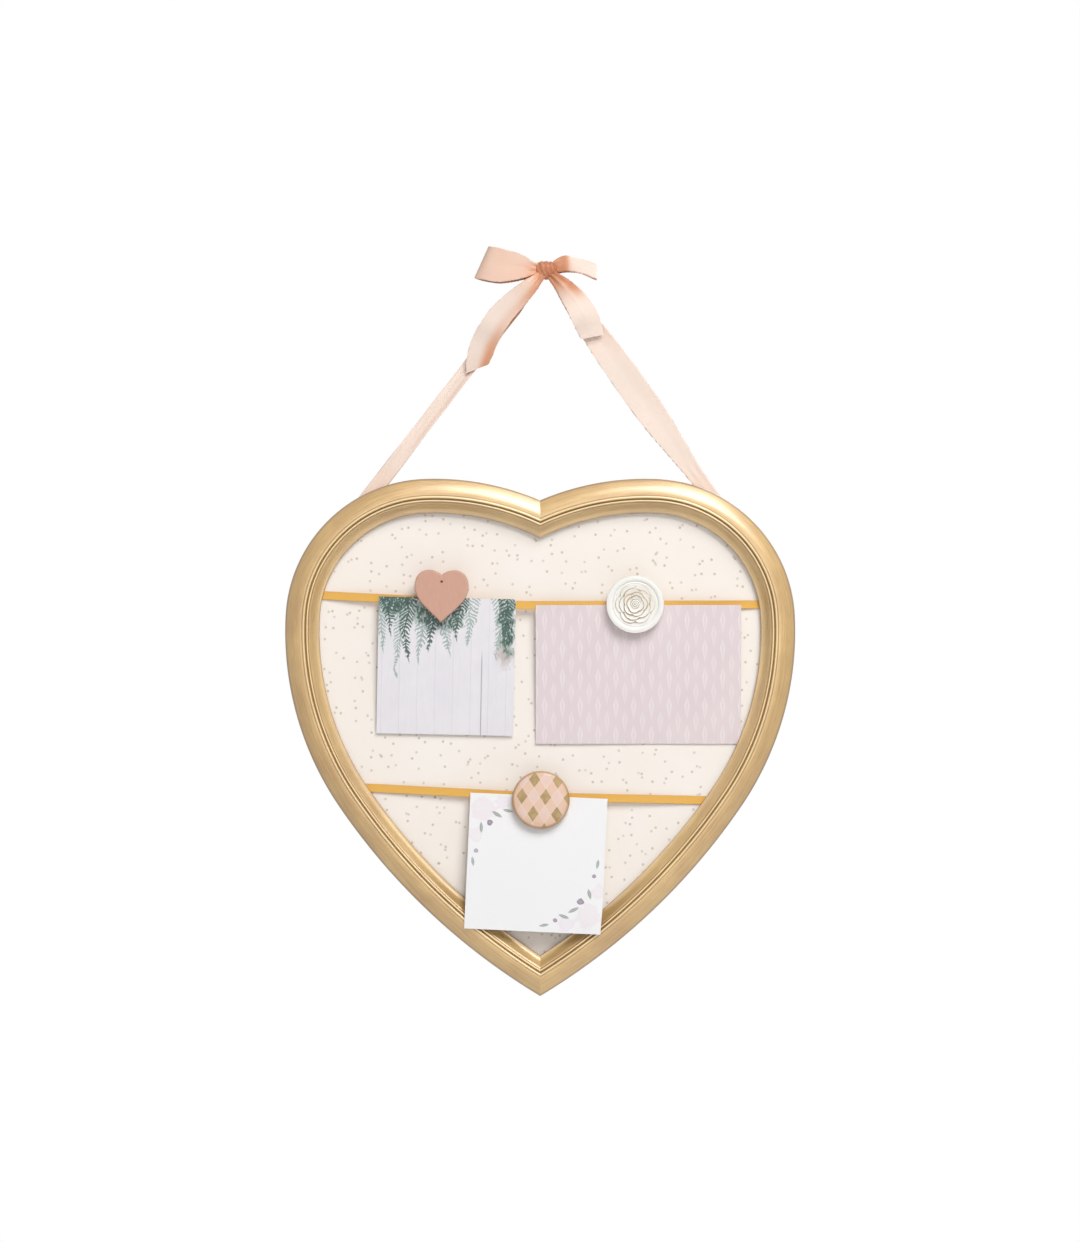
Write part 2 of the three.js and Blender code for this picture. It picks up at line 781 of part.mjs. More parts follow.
function roseDiscGeometry() {
  return turned([
    [0, 0],
    [discRadius - discEdge, 0],
    [discRadius, discEdge],
    [discRadius, discRim],
    [discRadius - discEdge, discRim + discEdge],
    [rimCrestShare * discRadius, discRim + discEdge],
    ...roseHollowShares.map((share) => [share * discRadius, discRim]),
    ...rosePetalShares.map(([out, rise]) => [out * discRadius, rise * roseHeight]),
  ], discSides);
}

const domeSteps = 5;
function latticeDiscGeometry() {
  const profile = [
    [0, 0],
    [discRadius - discEdge, 0],
    [discRadius, discEdge],
    [discRadius, discRim - discEdge],
  ];
  for (let k = 1; k <= domeSteps; k += 1) {
    const angle = (k / domeSteps) * (Math.PI / 2);
    profile.push([
      discRadius * Math.cos(angle),
      lerp(discRim - discEdge, latticeHeight, Math.sin(angle)),
    ]);
  }
  return turned(profile, discSides);
}

// Where each peg sits, what it holds, and what is on it
const clips = {
  heart: {
    x: -72.0, band: upperBand, charm: heartCharmGeometry, charmName: 'heart_charm', charmMaterial: pinkWood,
    charmRise: 4.4, print: 'photo_print', printMaterial: photoPaper, width: photoWidth,
    height: photoHeight, printShift: 4.3, printTop: 2.6, restGap: photoRestGap, roll: -1.6,
  },
  rose: {
    x: 69.2, band: upperBand, charm: roseDiscGeometry, charmName: 'rose_disc', charmMaterial: whiteResin,
    charmRise: 0.9, print: 'lilac_card', printMaterial: lilacPaper, width: lilacWidth,
    height: lilacHeight, printShift: 2.5, printTop: 0.0, restGap: lilacRestGap, roll: 0.16,
  },
  lattice: {
    x: 0.6, band: lowerBand, charm: latticeDiscGeometry, charmName: 'lattice_disc',
    charmMaterial: latticePaper, charmRise: -2.5, print: 'floral_card', printMaterial: whitePaper,
    width: floralWidth, height: floralHeight, printShift: -1.5, printTop: 0.6, roll: 1.3,
  },
};

Object.entries(clips).forEach(([name, clip]) => {
  const hang = clip.height - clip.printTop;
  const restDepth = clip.restGap === undefined ? crestDepth + crestGap : clothFront + clip.restGap;
  const tilt = Math.atan2(bandStandOff + printBack - restDepth, hang);
  const seat = new THREE.Group();
  seat.position.set(clip.x, -bandStandOff, bandLevel(clip.band, clip.x));
  seat.rotation.y = bandTurn(clip.band, clip.x) + radians(clip.roll);
  heart.add(seat);
  const lean = new THREE.Group();
  lean.rotation.x = tilt;
  seat.add(lean);
  piece(`${name}_peg_back`, legGeometry(-1), birch(), lean);
  piece(`${name}_peg_front`, legGeometry(1), birch(), lean);
  piece(`${name}_peg_spring`, springGeometry(), brassWire(), lean);
  const charm = piece(clip.charmName, clip.charm(), clip.charmMaterial(), lean);
  charm.position.set(0, -(jawMiddle + legOuter + gap), clip.charmRise);
  const left = clip.printShift - clip.width / 2;
  const print = block(
    new THREE.Vector3(left, -printBack - printThickness, clip.printTop - clip.height),
    new THREE.Vector3(left + clip.width, -printBack, clip.printTop),
  );
  piece(clip.print, print, clip.printMaterial(), lean);
});

// Ribbon parts are strips laid along rows. A row gives a place, the strip's width, the angle at
// which its width lies in the plane of the wall, how far it leans forward, and its crease.
const stripAcross = [-0.5, -0.25, 0, 0.25, 0.5];
const longStripSteps = 22;
const tailSteps = 12;
const knotSides = 18;
const knotRows = 12;

function stripGeometry(rows, steps) {
  const path = new THREE.CatmullRomCurve3(rows.map((row) => row.place));
  const form = new THREE.CatmullRomCurve3(rows.map((row) => new THREE.Vector3(row.width, row.crease, 0)));
  const angles = new THREE.CatmullRomCurve3(rows.map((row) => new THREE.Vector3(row.lie, row.lean, 0)));
  const sections = [];
  const rings = [];
  for (let k = 0; k <= steps; k += 1) {
    const t = k / steps;
    const place = path.getPoint(t);
    const { x: width, y: crease } = form.getPoint(t);
    const { x: lie, y: lean } = angles.getPoint(t);
    const across = new THREE.Vector3(
      Math.cos(lie) * Math.cos(lean),
      -Math.sin(lean),
      Math.sin(lie) * Math.cos(lean),
    );
    const normal = path.getTangent(t).cross(across).normalize();
    const side = (face) => stripAcross.map((share) => new THREE.Vector2(
      share * width,
      crease * (1 - 2 * Math.abs(share)) + (face * ribbonThickness) / 2,
    ));
    const section = [...side(-1), ...side(1).reverse()];
    sections.push(section);
    rings.push(section.map(({ x, y }) => place.clone()
      .addScaledVector(across, x)
      .addScaledVector(normal, y)));
  }
  return loft(rings, sections[0], sections[steps]);
}

const knotPlace = new THREE.Vector3(knotX, -knotDepth, knotRise);

function knotLump(extra) {
  const lump = new THREE.SphereGeometry(1, knotSides, knotRows);
  lump.scale(knotHalfWidth + extra, knotHalfDepth + extra, knotHalfHeight + extra);
  return lump.translate(knotPlace.x, knotPlace.y, knotPlace.z);
}

// Places of the bow's rows from the knot: right and up in a unit that the caller gives, forward
// in ribbon widths. The loops' unit is the ribbon's width. The tails' unit is a share of the
// drop from the knot to the top of the moulding, so they always end above it.
const tailUnit = tailUnitShare * (knotRise - arcs[1].centre.y - arcs[1].radius);

function bowRows(shares, unit) {
  return shares.map(([right, up, forward, width, lie, lean, crease]) => ({
    place: knotPlace.clone().add(
      new THREE.Vector3(right * unit, -forward * ribbonWidth, up * unit),
    ),
    width: width * ribbonWidth,
    crease: crease * ribbonWidth,
    lie: radians(lie),
    lean: radians(lean),
  }));
}

const leftLoopShares = [
  [-0.22, 0.02, 0.10, 0.26, 90, 0, 0.02],
  [-0.66, 0.08, 0.22, 0.66, 90, 0, 0.03],
  [-1.30, 0.12, 0.25, 0.98, 86, 0, 0.02],
  [-1.72, 0.19, 0.20, 1.0, 72, 0, 0],
  [-1.88, 0.22, 0.04, 1.0, 65, 0, 0],
  [-1.72, 0.18, -0.09, 0.98, 68, 0, 0],
  [-1.25, 0.08, -0.08, 0.90, 80, 0, 0],
  [-0.64, 0.03, -0.05, 0.60, 88, 0, 0],
  [-0.22, 0.0, -0.03, 0.26, 90, 0, 0],
];
const rightLoopShares = [
  [0.22, 0.06, 0.06, 0.26, 90, -10, 0],
  [0.52, 0.20, 0.05, 0.56, 92, -40, 0.02],
  [0.95, 0.14, 0.04, 0.90, 92, -58, 0.02],
  [1.32, 0.02, 0.02, 0.98, 90, -60, 0],
  [1.46, -0.09, 0.0, 1.0, 90, -60, 0],
  [1.34, -0.17, -0.02, 0.96, 90, -60, 0],
  [0.95, -0.12, -0.06, 0.86, 90, -56, 0],
  [0.52, -0.04, -0.10, 0.50, 90, -38, 0],
  [0.22, -0.02, -0.10, 0.26, 90, -10, 0],
];
const leftTailShares = [
  [-0.08, -0.12, 0.12, 0.26, -35, 0, 0.02],
  [-0.50, -0.48, 0.31, 0.44, -38, 0, 0.06],
  [-1.40, -1.26, 0.18, 0.60, -36, 8, 0.05],
  [-1.86, -2.10, 0.06, 0.70, -22, 10, 0.03],
  [-2.03, -2.88, 0.02, 0.70, 21, 10, 0],
];
const rightTailShares = [
  [0.10, -0.12, 0.10, 0.28, 50, 0, 0.02],
  [0.50, -0.50, 0.28, 0.52, 46, 0, 0.06],
  [0.86, -0.94, 0.19, 0.72, 38, -8, 0.05],
  [1.14, -1.42, 0.14, 0.80, 28, -10, 0.03],
  [1.34, -1.94, 0.08, 0.68, 12, -10, 0],
];

// Strand rows: share of the way up from the foot, width as a share of the ribbon's width, how
// far the width leans forward, and crease; negative shares of the way lie in the channel
const strandShares = {
  left: [
    [0.12, 0.46, 0, 0.02],
    [0.35, 0.44, 10, 0.08],
    [0.62, 0.44, 14, 0.08],
    [0.85, 0.42, 10, 0.06],
    [1, 0.24, 0, 0.02],
  ],
  right: [
    [0.12, 0.54, 0, 0.02],
    [0.35, 0.84, 8, 0.05],
    [0.62, 0.82, 8, 0.05],
    [0.85, 0.56, 6, 0.06],
    [1, 0.24, 0, 0.02],
  ],
};

function strandRows(name) {
  const { foot, run } = ribbonFeet[name];
  const along = run.clone().normalize();
  const lie = Math.atan2(along.y, along.x) - Math.PI / 2;
  const footDepth = ribbonBack + ribbonThickness / 2;
  const row = (way, depth, width, lean, crease) => ({
    place: new THREE.Vector3(foot.x + along.x * way, -depth, foot.y + along.y * way),
    width: width * ribbonWidth,
    crease: crease * ribbonWidth,
    lie,
    lean: radians(lean),
  });
  return [
    row(-footTuck, footDepth, footWidthShare, 0, 0),
    row(-footTuck / 2, footDepth, footWidthShare, 0, 0),
    row(0, footDepth, footWidthShare, 0, 0),
    row(footTuck / 2, footDepth, footWidthShare, 0, 0),
    ...strandShares[name].map(([share, width, lean, crease]) => row(
      share * run.length(),
      lerp(footDepth, strandDepthShare * knotDepth, share),
      width,
      lean,
      crease,
    )),
  ];
}

const knotCutter = knotLump(gap);
piece('ribbon_knot', knotLump(0), satin());
Object.entries(ribbonFeet).forEach(([name, place]) => {
  const strand = stripGeometry(strandRows(name), longStripSteps);
  piece(`ribbon_${name}_strand`, cut(strand, [knotCutter, ...legCutters(place)]), satin());
  piece(`ribbon_${name}_staple`, stapleGeometry(place), zinc());
});
const bowParts = {
  bow_left_loop: [leftLoopShares, ribbonWidth, longStripSteps],
  bow_right_loop: [rightLoopShares, ribbonWidth, longStripSteps],
  bow_left_tail: [leftTailShares, tailUnit, tailSteps],
  bow_right_tail: [rightTailShares, tailUnit, tailSteps],
};
Object.entries(bowParts).forEach(([name, [shares, unit, steps]]) => {
  piece(name, cut(stripGeometry(bowRows(shares, unit), steps), [knotCutter]), satin());
});

export default group;
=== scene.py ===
# %% [markdown]
# # A heart-shaped frame for several photos
#
# A gilded wooden moulding holds a board covered in dotted cloth. Two flat elastics cross it,
# three mini pegs hang on them with a charm each, and a satin ribbon tied in a bow carries it all.
# The sizes come from the packed model, so every piece here is made where the solids already are.

# %% Load the packed model
import json
import math

import bmesh
import bpy
from mathutils import Matrix, Vector

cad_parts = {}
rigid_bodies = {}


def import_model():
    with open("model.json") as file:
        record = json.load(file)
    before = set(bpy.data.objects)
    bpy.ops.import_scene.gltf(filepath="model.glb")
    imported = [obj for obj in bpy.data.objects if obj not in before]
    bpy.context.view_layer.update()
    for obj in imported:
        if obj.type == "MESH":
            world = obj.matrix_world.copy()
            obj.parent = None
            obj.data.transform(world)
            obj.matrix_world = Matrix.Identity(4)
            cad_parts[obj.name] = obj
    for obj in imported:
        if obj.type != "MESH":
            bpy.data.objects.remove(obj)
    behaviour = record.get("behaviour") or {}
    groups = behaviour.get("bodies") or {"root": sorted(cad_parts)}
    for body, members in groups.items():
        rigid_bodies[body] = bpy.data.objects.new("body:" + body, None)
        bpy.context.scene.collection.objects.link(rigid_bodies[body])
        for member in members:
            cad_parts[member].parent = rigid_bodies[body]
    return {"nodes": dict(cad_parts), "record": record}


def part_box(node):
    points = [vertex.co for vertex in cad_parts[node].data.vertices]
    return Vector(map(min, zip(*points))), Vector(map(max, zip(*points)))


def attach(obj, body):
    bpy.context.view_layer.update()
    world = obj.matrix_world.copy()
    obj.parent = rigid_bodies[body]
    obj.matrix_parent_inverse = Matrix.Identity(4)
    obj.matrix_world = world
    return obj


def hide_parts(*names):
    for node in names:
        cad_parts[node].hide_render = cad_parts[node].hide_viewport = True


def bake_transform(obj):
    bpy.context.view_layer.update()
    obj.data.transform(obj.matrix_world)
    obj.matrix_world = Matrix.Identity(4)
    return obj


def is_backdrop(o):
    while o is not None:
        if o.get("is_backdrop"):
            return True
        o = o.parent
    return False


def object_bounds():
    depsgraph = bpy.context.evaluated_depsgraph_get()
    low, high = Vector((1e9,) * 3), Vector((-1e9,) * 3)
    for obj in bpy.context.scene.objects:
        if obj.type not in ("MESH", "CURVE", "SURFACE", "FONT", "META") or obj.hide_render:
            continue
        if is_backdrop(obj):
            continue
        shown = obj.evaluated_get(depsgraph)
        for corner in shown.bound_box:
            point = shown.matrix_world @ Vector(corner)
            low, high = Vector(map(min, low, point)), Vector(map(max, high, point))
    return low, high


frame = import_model()
solid_box = [list(corner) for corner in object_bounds()]

# %% [markdown]
# Lengths are easier to read in millimetres. `spot` takes a place as millimetres to the right of
# the middle, in front of the wall and above the heart's tip, and gives it in the model's metres.
# The nail that the ribbon hangs on is the model's origin, 520 mm above the tip.

# %% Millimetres and places
MM = 0.001
NAIL_RISE = 520.0


def spot(right, forward, rise):
    return Vector((right, -forward, rise - NAIL_RISE)) * MM


def lerp(low, high, share):
    return low + (high - low) * share


def ease(share):
    share = min(max(share, 0.0), 1.0)
    return share * share * (3 - 2 * share)


def in_scene(name, data):
    made = bpy.data.objects.new(name, data)
    bpy.context.scene.collection.objects.link(made)
    return made


print("tip of the heart:", tuple(round(v, 3) for v in spot(0, 0, 0)))

# %% [markdown]
# Colours are noted as a designer notes them, as hexadecimal sRGB. Shaders work with linear
# light, so each one is converted once, here.

# %% Paint colours
def paint(code):
    shares = [((code >> shift) & 255) / 255 for shift in (16, 8, 0)]
    linear = [s / 12.92 if s <= 0.04045 else ((s + 0.055) / 1.055) ** 2.4 for s in shares]
    return (*linear, 1.0)


print("blush in linear light:", [round(v, 3) for v in paint(0xF0CDBB)])

# %% [markdown]
# A material is a small calculation over the surface. `Flow` wraps the output of a node, so that
# the calculation can be written as a plain expression: adding two flows adds the Math node that
# does it. Each sign also has its reflected form, for when the number stands first, as in
# `1 - mask`. `Finish` is the material, and its `node` makes every other kind of node. The masks
# read as words: `between` rises from 0 to 1, `below` falls, and `near` is 1 close to a value.

# %% A socket that understands arithmetic
class Flow:
    def __init__(self, finish, socket):
        self.finish, self.socket = finish, socket

    def maths(self, operation, first, second=0.0):
        return self.finish.node("ShaderNodeMath", {"operation": operation}, {0: first, 1: second})

    def __add__(self, other):
        return self.maths("ADD", self, other)

    def __radd__(self, other):
        return self.maths("ADD", other, self)

    def __sub__(self, other):
        return self.maths("SUBTRACT", self, other)

    def __rsub__(self, other):
        return self.maths("SUBTRACT", other, self)

    def __mul__(self, other):
        return self.maths("MULTIPLY", self, other)

    def __rmul__(self, other):
        return self.maths("MULTIPLY", other, self)

    def __truediv__(self, other):
        return self.maths("DIVIDE", self, other)

    def __rtruediv__(self, other):
        return self.maths("DIVIDE", other, self)

    def __pow__(self, other):
        return self.maths("POWER", self, other)

    def __rpow__(self, other):
        return self.maths("POWER", other, self)

    def __abs__(self):
        return self.maths("ABSOLUTE", self)

    def from_middle(self):
        return self.maths("FRACT", self) - 0.5

    def wave(self):
        return self.maths("SINE", self)

    def ripple(self):
        return self.wave() * 0.5 + 0.5

    def most(self, other):
        return self.maths("MAXIMUM", self, other)

    def least(self, other):
        return self.maths("MINIMUM", self, other)

    def between(self, low, high):
        ways = {"interpolation_type": "SMOOTHSTEP"}
        return self.finish.node("ShaderNodeMapRange", ways, {0: self, 1: low, 2: high})

    def below(self, low, high):
        return 1 - self.between(low, high)

    def near(self, value, inner, outer):
        return abs(self - value).below(inner, outer)


print("signs with a reflected form:", [name for name in vars(Flow) if name.startswith("__r")])

# %% [markdown]
# Values that stay the same all over a piece are set straight on the shader. Only what changes
# over the surface is linked: colour, roughness, and the bump that feeds the normal, given as its
# height, strength and distance in millimetres. A colour may be given as its code, and a place as
# a tuple of three flows. `layers` lays coats over a first colour, each where its mask lets it.
# `notes` gives the three numbers that a piece has written on each of its points.

# %% The material that flows end in
NOTES = "lay"


class Finish:
    def __init__(self, name, **constants):
        self.material = bpy.data.materials.new(name)
        self.clear()
        self.shader = self.raw("ShaderNodeBsdfPrincipled")
        self.link(self.shader.outputs[0], self.raw("ShaderNodeOutputMaterial").inputs[0])
        self.surface(**constants)

    def clear(self):
        self.material.use_nodes = True
        self.material.node_tree.nodes.clear()

    def raw(self, kind):
        return self.material.node_tree.nodes.new(kind)

    def link(self, output, socket):
        self.material.node_tree.links.new(output, socket)

    def feed(self, socket, value):
        if isinstance(value, Flow):
            self.link(value.socket, socket)
        else:
            socket.default_value = value

    def node(self, kind, settings=None, sockets=None, output=0):
        made = self.raw(kind)
        for name, value in (settings or {}).items():
            if name == "stops":
                ramp = made.color_ramp.elements
                while len(ramp) < len(value):
                    ramp.new(0.5)
                for element, (place, code) in zip(ramp, value):
                    element.position, element.color = place, paint(code)
            else:
                setattr(made, name, value)
        for key, value in (sockets or {}).items():
            self.feed(made.inputs[key], value)
        return Flow(self, made.outputs[output])

    def surface(self, bump=None, **values):
        if bump:
            height, strength, distance = bump
            sockets = {"Height": height, "Strength": strength, "Distance": distance * MM}
            values["Normal"] = self.node("ShaderNodeBump", None, sockets)
        for socket, value in values.items():
            self.feed(self.shader.inputs[socket.replace("_", " ")], value)
        return self.material

    def mix(self, amount, *colours):
        first, second = (paint(c) if isinstance(c, int) else c for c in colours)
        ways = {"data_type": "RGBA"}
        return self.node("ShaderNodeMix", ways, {0: amount, 6: first, 7: second}, output=2)

    def layers(self, colour, *coats):
        for mask, coat in coats:
            colour = self.mix(mask, colour, coat)
        return colour

    def place(self):
        return self.stretch(self.node("ShaderNodeTexCoord", output="Object"), (1 / MM,) * 3)

    def stretch(self, vector, factors):
        ways = {"operation": "MULTIPLY"}
        return self.node("ShaderNodeVectorMath", ways, {0: vector, 1: factors})

    def parts(self, vector):
        made = self.raw("ShaderNodeSeparateXYZ")
        self.feed(made.inputs[0], vector)
        return [Flow(self, made.outputs[k]) for k in range(3)]

    def notes(self):
        ways = {"attribute_name": NOTES}
        return self.parts(self.node("ShaderNodeAttribute", ways, output="Vector"))

    def join(self, *parts):
        return self.node("ShaderNodeCombineXYZ", None, dict(enumerate(parts)))

    def noise(self, where, scale=1.0, detail=3.0, roughness=0.5):
        vector = self.join(*where) if isinstance(where, tuple) else where
        sockets = {"Vector": vector, "Scale": scale, "Detail": detail, "Roughness": roughness}
        return self.node("ShaderNodeTexNoise", None, sockets)


print("short ways to build a finish:", sum(not name.startswith("_") for name in vars(Finish)))

# %% [markdown]
# ## Camera, light and background
#
# The photograph is a straight frontal view, taken from far enough that the sides of the moulding
# can't be seen. The picture is 1080 pixels wide and 1242 high, and each pixel is 0.73 mm at the
# frame, so the camera's height and lens follow from where the heart's tip lies in the picture.
# The Standard view transform shows a colour as it is written.

# %% Camera
PICTURE = (1080, 1242)
PIXEL = 0.73
TIP_PIXEL = (540.2, 995.5)
MIDDLE_DEPTH = 12
CAMERA_DISTANCE = 3.2
SENSOR_HEIGHT = 36.0

camera_data = bpy.data.cameras.new("camera")
camera = in_scene("camera", camera_data)
picture_height = PICTURE[1] * PIXEL * MM
middle = spot((PICTURE[0] / 2 - TIP_PIXEL[0]) * PIXEL, MIDDLE_DEPTH,
              (TIP_PIXEL[1] - PICTURE[1] / 2) * PIXEL)
camera.location = middle + Vector((0, -CAMERA_DISTANCE, 0))
camera.rotation_euler = (math.pi / 2, 0, 0)
camera_data.sensor_fit = "VERTICAL"
camera_data.sensor_height = SENSOR_HEIGHT
camera_data.lens = SENSOR_HEIGHT * CAMERA_DISTANCE / picture_height
bpy.context.scene.camera = camera
bpy.context.scene.view_settings.view_transform = "Standard"
print(f"lens {camera_data.lens:.0f} mm, picture {picture_height:.3f} m high")

# %% [markdown]
# A large soft lamp hangs above, in front and to the right, because the photograph's moulding is
# palest along the top of the heart and darkest on the slopes that look down and to the left. Two
# weak ones keep the sides and the back readable from other angles.

# %% Lamps
LAMPS_AIM = Vector((0, 0, -0.3))
for name, place, size, power in (
    ("top_lamp", (0.95, -2.2, 2.05), 1.8, 86.0),
    ("front_lamp", (0.1, -2.8, -0.1), 1.6, 11.0),
    ("back_lamp", (0.9, 1.8, 1.0), 1.4, 20.0),
):
    light = bpy.data.lights.new(name, "AREA")
    light.size, light.energy = size, power
    lamp = in_scene(name, light)
    lamp.location = place
    lamp.rotation_euler = (LAMPS_AIM - lamp.location).to_track_quat("-Z", "Y").to_euler()
print("lamps:", len(bpy.data.lights))

# %% [markdown]
# The background has to be plain white to the camera without throwing more light on the object.
# The light path tells a material who is looking: camera, mirror and glass rays see white, and
# every other ray sees a dimmer world. The floor glows for those rays too, so that it stays pale
# around the object's shadow.

# %% World and backdrop
ROOM_LIGHT = 0.24
FLOOR_RISE = -1.35
FLOOR_REACH = 4
FLOOR_GREY = (0.86, 0.86, 0.86, 1.0)
FLOOR_GLOW = (0.45, 0.45, 0.45, 1)


def seen_directly(finish):
    path = finish.raw("ShaderNodeLightPath")
    camera_ray, mirror_ray, glass_ray = (
        Flow(finish, path.outputs[f"Is {kind} Ray"])
        for kind in ("Camera", "Glossy", "Transmission"))
    return camera_ray.most(mirror_ray).most(glass_ray)


class WorldFinish(Finish):
    def __init__(self, world):
        self.material = world
        self.clear()


bpy.context.scene.world = bpy.data.worlds.new("studio")
sky = WorldFinish(bpy.context.scene.world)
shine = sky.node("ShaderNodeBackground", None, {
    "Color": (1.0, 1.0, 1.0, 1.0),
    "Strength": seen_directly(sky) * (1 - ROOM_LIGHT) + ROOM_LIGHT,
})
sky.link(shine.socket, sky.raw("ShaderNodeOutputWorld").inputs[0])

studio = Finish("studio_paper", Roughness=0.95, Emission_Strength=1.0, Base_Color=FLOOR_GREY)
studio.surface(Emission_Color=studio.mix(seen_directly(studio), (0, 0, 0, 1), FLOOR_GLOW))
floor_mesh = bpy.data.meshes.new("floor")
corners = [(x * FLOOR_REACH, y * FLOOR_REACH, FLOOR_RISE)
           for x, y in ((-1, -1), (1, -1), (1, 1), (-1, 1))]
floor_mesh.from_pydata(corners, [], [(0, 1, 2, 3)])
floor_mesh.materials.append(studio.material)
in_scene("floor", floor_mesh)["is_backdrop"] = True
print("floor", FLOOR_RISE, "m from the nail")

# %% [markdown]
# ## The heart's outline
#
# A moulding like this one is bent or sawn along circular arcs, so the outline is four arcs on
# each side: a long one off the cleft, the round lobe, the flank and the almost straight side.
# A line further in has the same centres and smaller radii. `side_line` walks one side from the
# cleft to the tip at any inset, with as many stations as the piece needs.

# %% Four arcs on each side
CLEFT_HEIGHT = 361.6
CLEFT_SLOPE = 23.0
ARC_SIZES = ((197.0, 25.4), (105.2, 84.6), (226.5, 37.3), (470.4, 0.0))

ARCS = []
heading = math.radians(CLEFT_SLOPE)
start = Vector((0.0, CLEFT_HEIGHT))
for radius, turn in ARC_SIZES:
    centre = start + radius * Vector((math.sin(heading), -math.cos(heading)))
    first = heading + math.pi / 2
    last = first - math.radians(turn)
    ARCS.append((centre, radius, first, last))
    start = centre + radius * Vector((math.cos(last), math.sin(last)))
    heading -= math.radians(turn)


def on_arc(centre, radius, angle, side):
    right = centre.x + radius * math.cos(angle)
    return Vector((side * right, centre.y + radius * math.sin(angle)))


def side_line(inset, side, counts):
    line = []
    for number, ((centre, radius, first, last), count) in enumerate(zip(ARCS, counts)):
        r = radius - inset
        if number == 0:
            first = math.acos(-centre.x / r)
        if number == len(ARCS) - 1:
            last = -math.acos(-centre.x / r)
        for k in range(0 if number == 0 else 1, count + 1):
            line.append(on_arc(centre, r, lerp(first, last, k / count), side))
    line[0].x = line[-1].x = 0.0
    return line


def half_width(rise, inset):
    for centre, radius, first, last in ARCS[1:]:
        lowest = -radius if last == first else (radius - inset) * math.sin(last)
        if rise - centre.y >= lowest:
            return centre.x + math.sqrt((radius - inset) ** 2 - (rise - centre.y) ** 2)


print(f"half width at the lobes {half_width(240, 0):.1f} mm")

# %% [markdown]
# Most pieces here are built as one closed skin over rings of points. `skin` takes the rings, and
# for each point one note of three numbers, such as how far along the moulding it lies. The notes
# become a vector attribute that the materials read, which needs no unwrapping. `walk` goes along
# a line and gives each place, the direction there and the distance so far. `new_piece` tells
# which body carries a piece, which finish it gets and which solid it stands for.

# %% A closed skin over rings
SHARP = 32.0


def new_piece(name, mesh, material, body, stands_for):
    made = in_scene(name, mesh)
    mesh.materials.append(material)
    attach(made, body)
    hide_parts(stands_for)
    return made


def noted_mesh(name, points, faces, notes, degrees):
    mesh = bpy.data.meshes.new(name)
    mesh.from_pydata(points, [], faces)
    if notes:
        attribute = mesh.attributes.new(NOTES, "FLOAT_VECTOR", "POINT")
        for item, note in zip(attribute.data, notes):
            item.vector = note
    shade_by_angle(mesh, degrees)
    return mesh


def shade_by_angle(mesh, degrees=SHARP):
    mesh.update()
    made = bmesh.new()
    made.from_mesh(mesh)
    bmesh.ops.recalc_face_normals(made, faces=made.faces)
    for face in made.faces:
        face.smooth = True
    for edge in made.edges:
        flat = edge.calc_face_angle(0.0) < math.radians(degrees)
        edge.smooth = len(edge.link_faces) < 2 or flat
    made.to_mesh(mesh)
    made.free()


def skin(name, rings, notes=(), degrees=SHARP):
    count = len(rings[0])
    faces = []
    for here in range(0, (len(rings) - 1) * count, count):
        there = here + count
        for j in range(count):
            k = (j + 1) % count
            faces.append((here + j, here + k, there + k, there + j))
    faces.append(tuple(range(count)))
    faces.append(tuple(range((len(rings) - 1) * count, len(rings) * count)))
    flat = [point for ring in rings for point in ring]
    return noted_mesh(name, flat, faces, [note for ring in notes for note in ring], degrees)


def walk(line):
    along = 0.0
    for k, here in enumerate(line):
        before, after = line[max(k - 1, 0)], line[min(k + 1, len(line) - 1)]
        along += (here - before).length
        yield here, (after - before).normalized(), along


print("edges stay crisp from", SHARP, "degrees")

# %% [markdown]
# ## The gilded moulding
#
# The profile is a wide rounded band that falls away outwards, a small bead on its crest, a
# groove, a second fine bead and a hollow that runs down to the cloth. A bevelled curve would
# give it in one step, but the mitres at the cleft and the tip would pinch. Lofting the profile
# along inset lines of the outline keeps every member true right into the mitre, as a joiner
# gets by sawing a made-up moulding.

# %% Profile of the moulding, as inset and depth from the wall
EDGE_DEPTH = 13.0
CREST_INSET = 13.6
FINE_BEAD_INSET = 16.2
LIP = 25.0
LIP_BACK = 9.0
REBATE_INSET = 15.5
LEDGE_INSET = 7.5
LEDGE_DEPTH = 3.0
RAIL_STATIONS = (44, 96, 52, 74)
SIDE_APART = 900


def swept(first, last, count, power=1.0):
    shares = [k / (count - 1) for k in range(count)]
    return [(lerp(first[0], last[0], share),
             lerp(first[1], last[1], math.sin(share * math.pi / 2) ** power)) for share in shares]


def bead(centre, radii, start_angle, count=7):
    angles = [math.radians(lerp(start_angle, 10, k / (count - 1))) for k in range(count)]
    return [(centre[0] + radii[0] * math.cos(angle), centre[1] + radii[1] * math.sin(angle))
            for angle in angles]


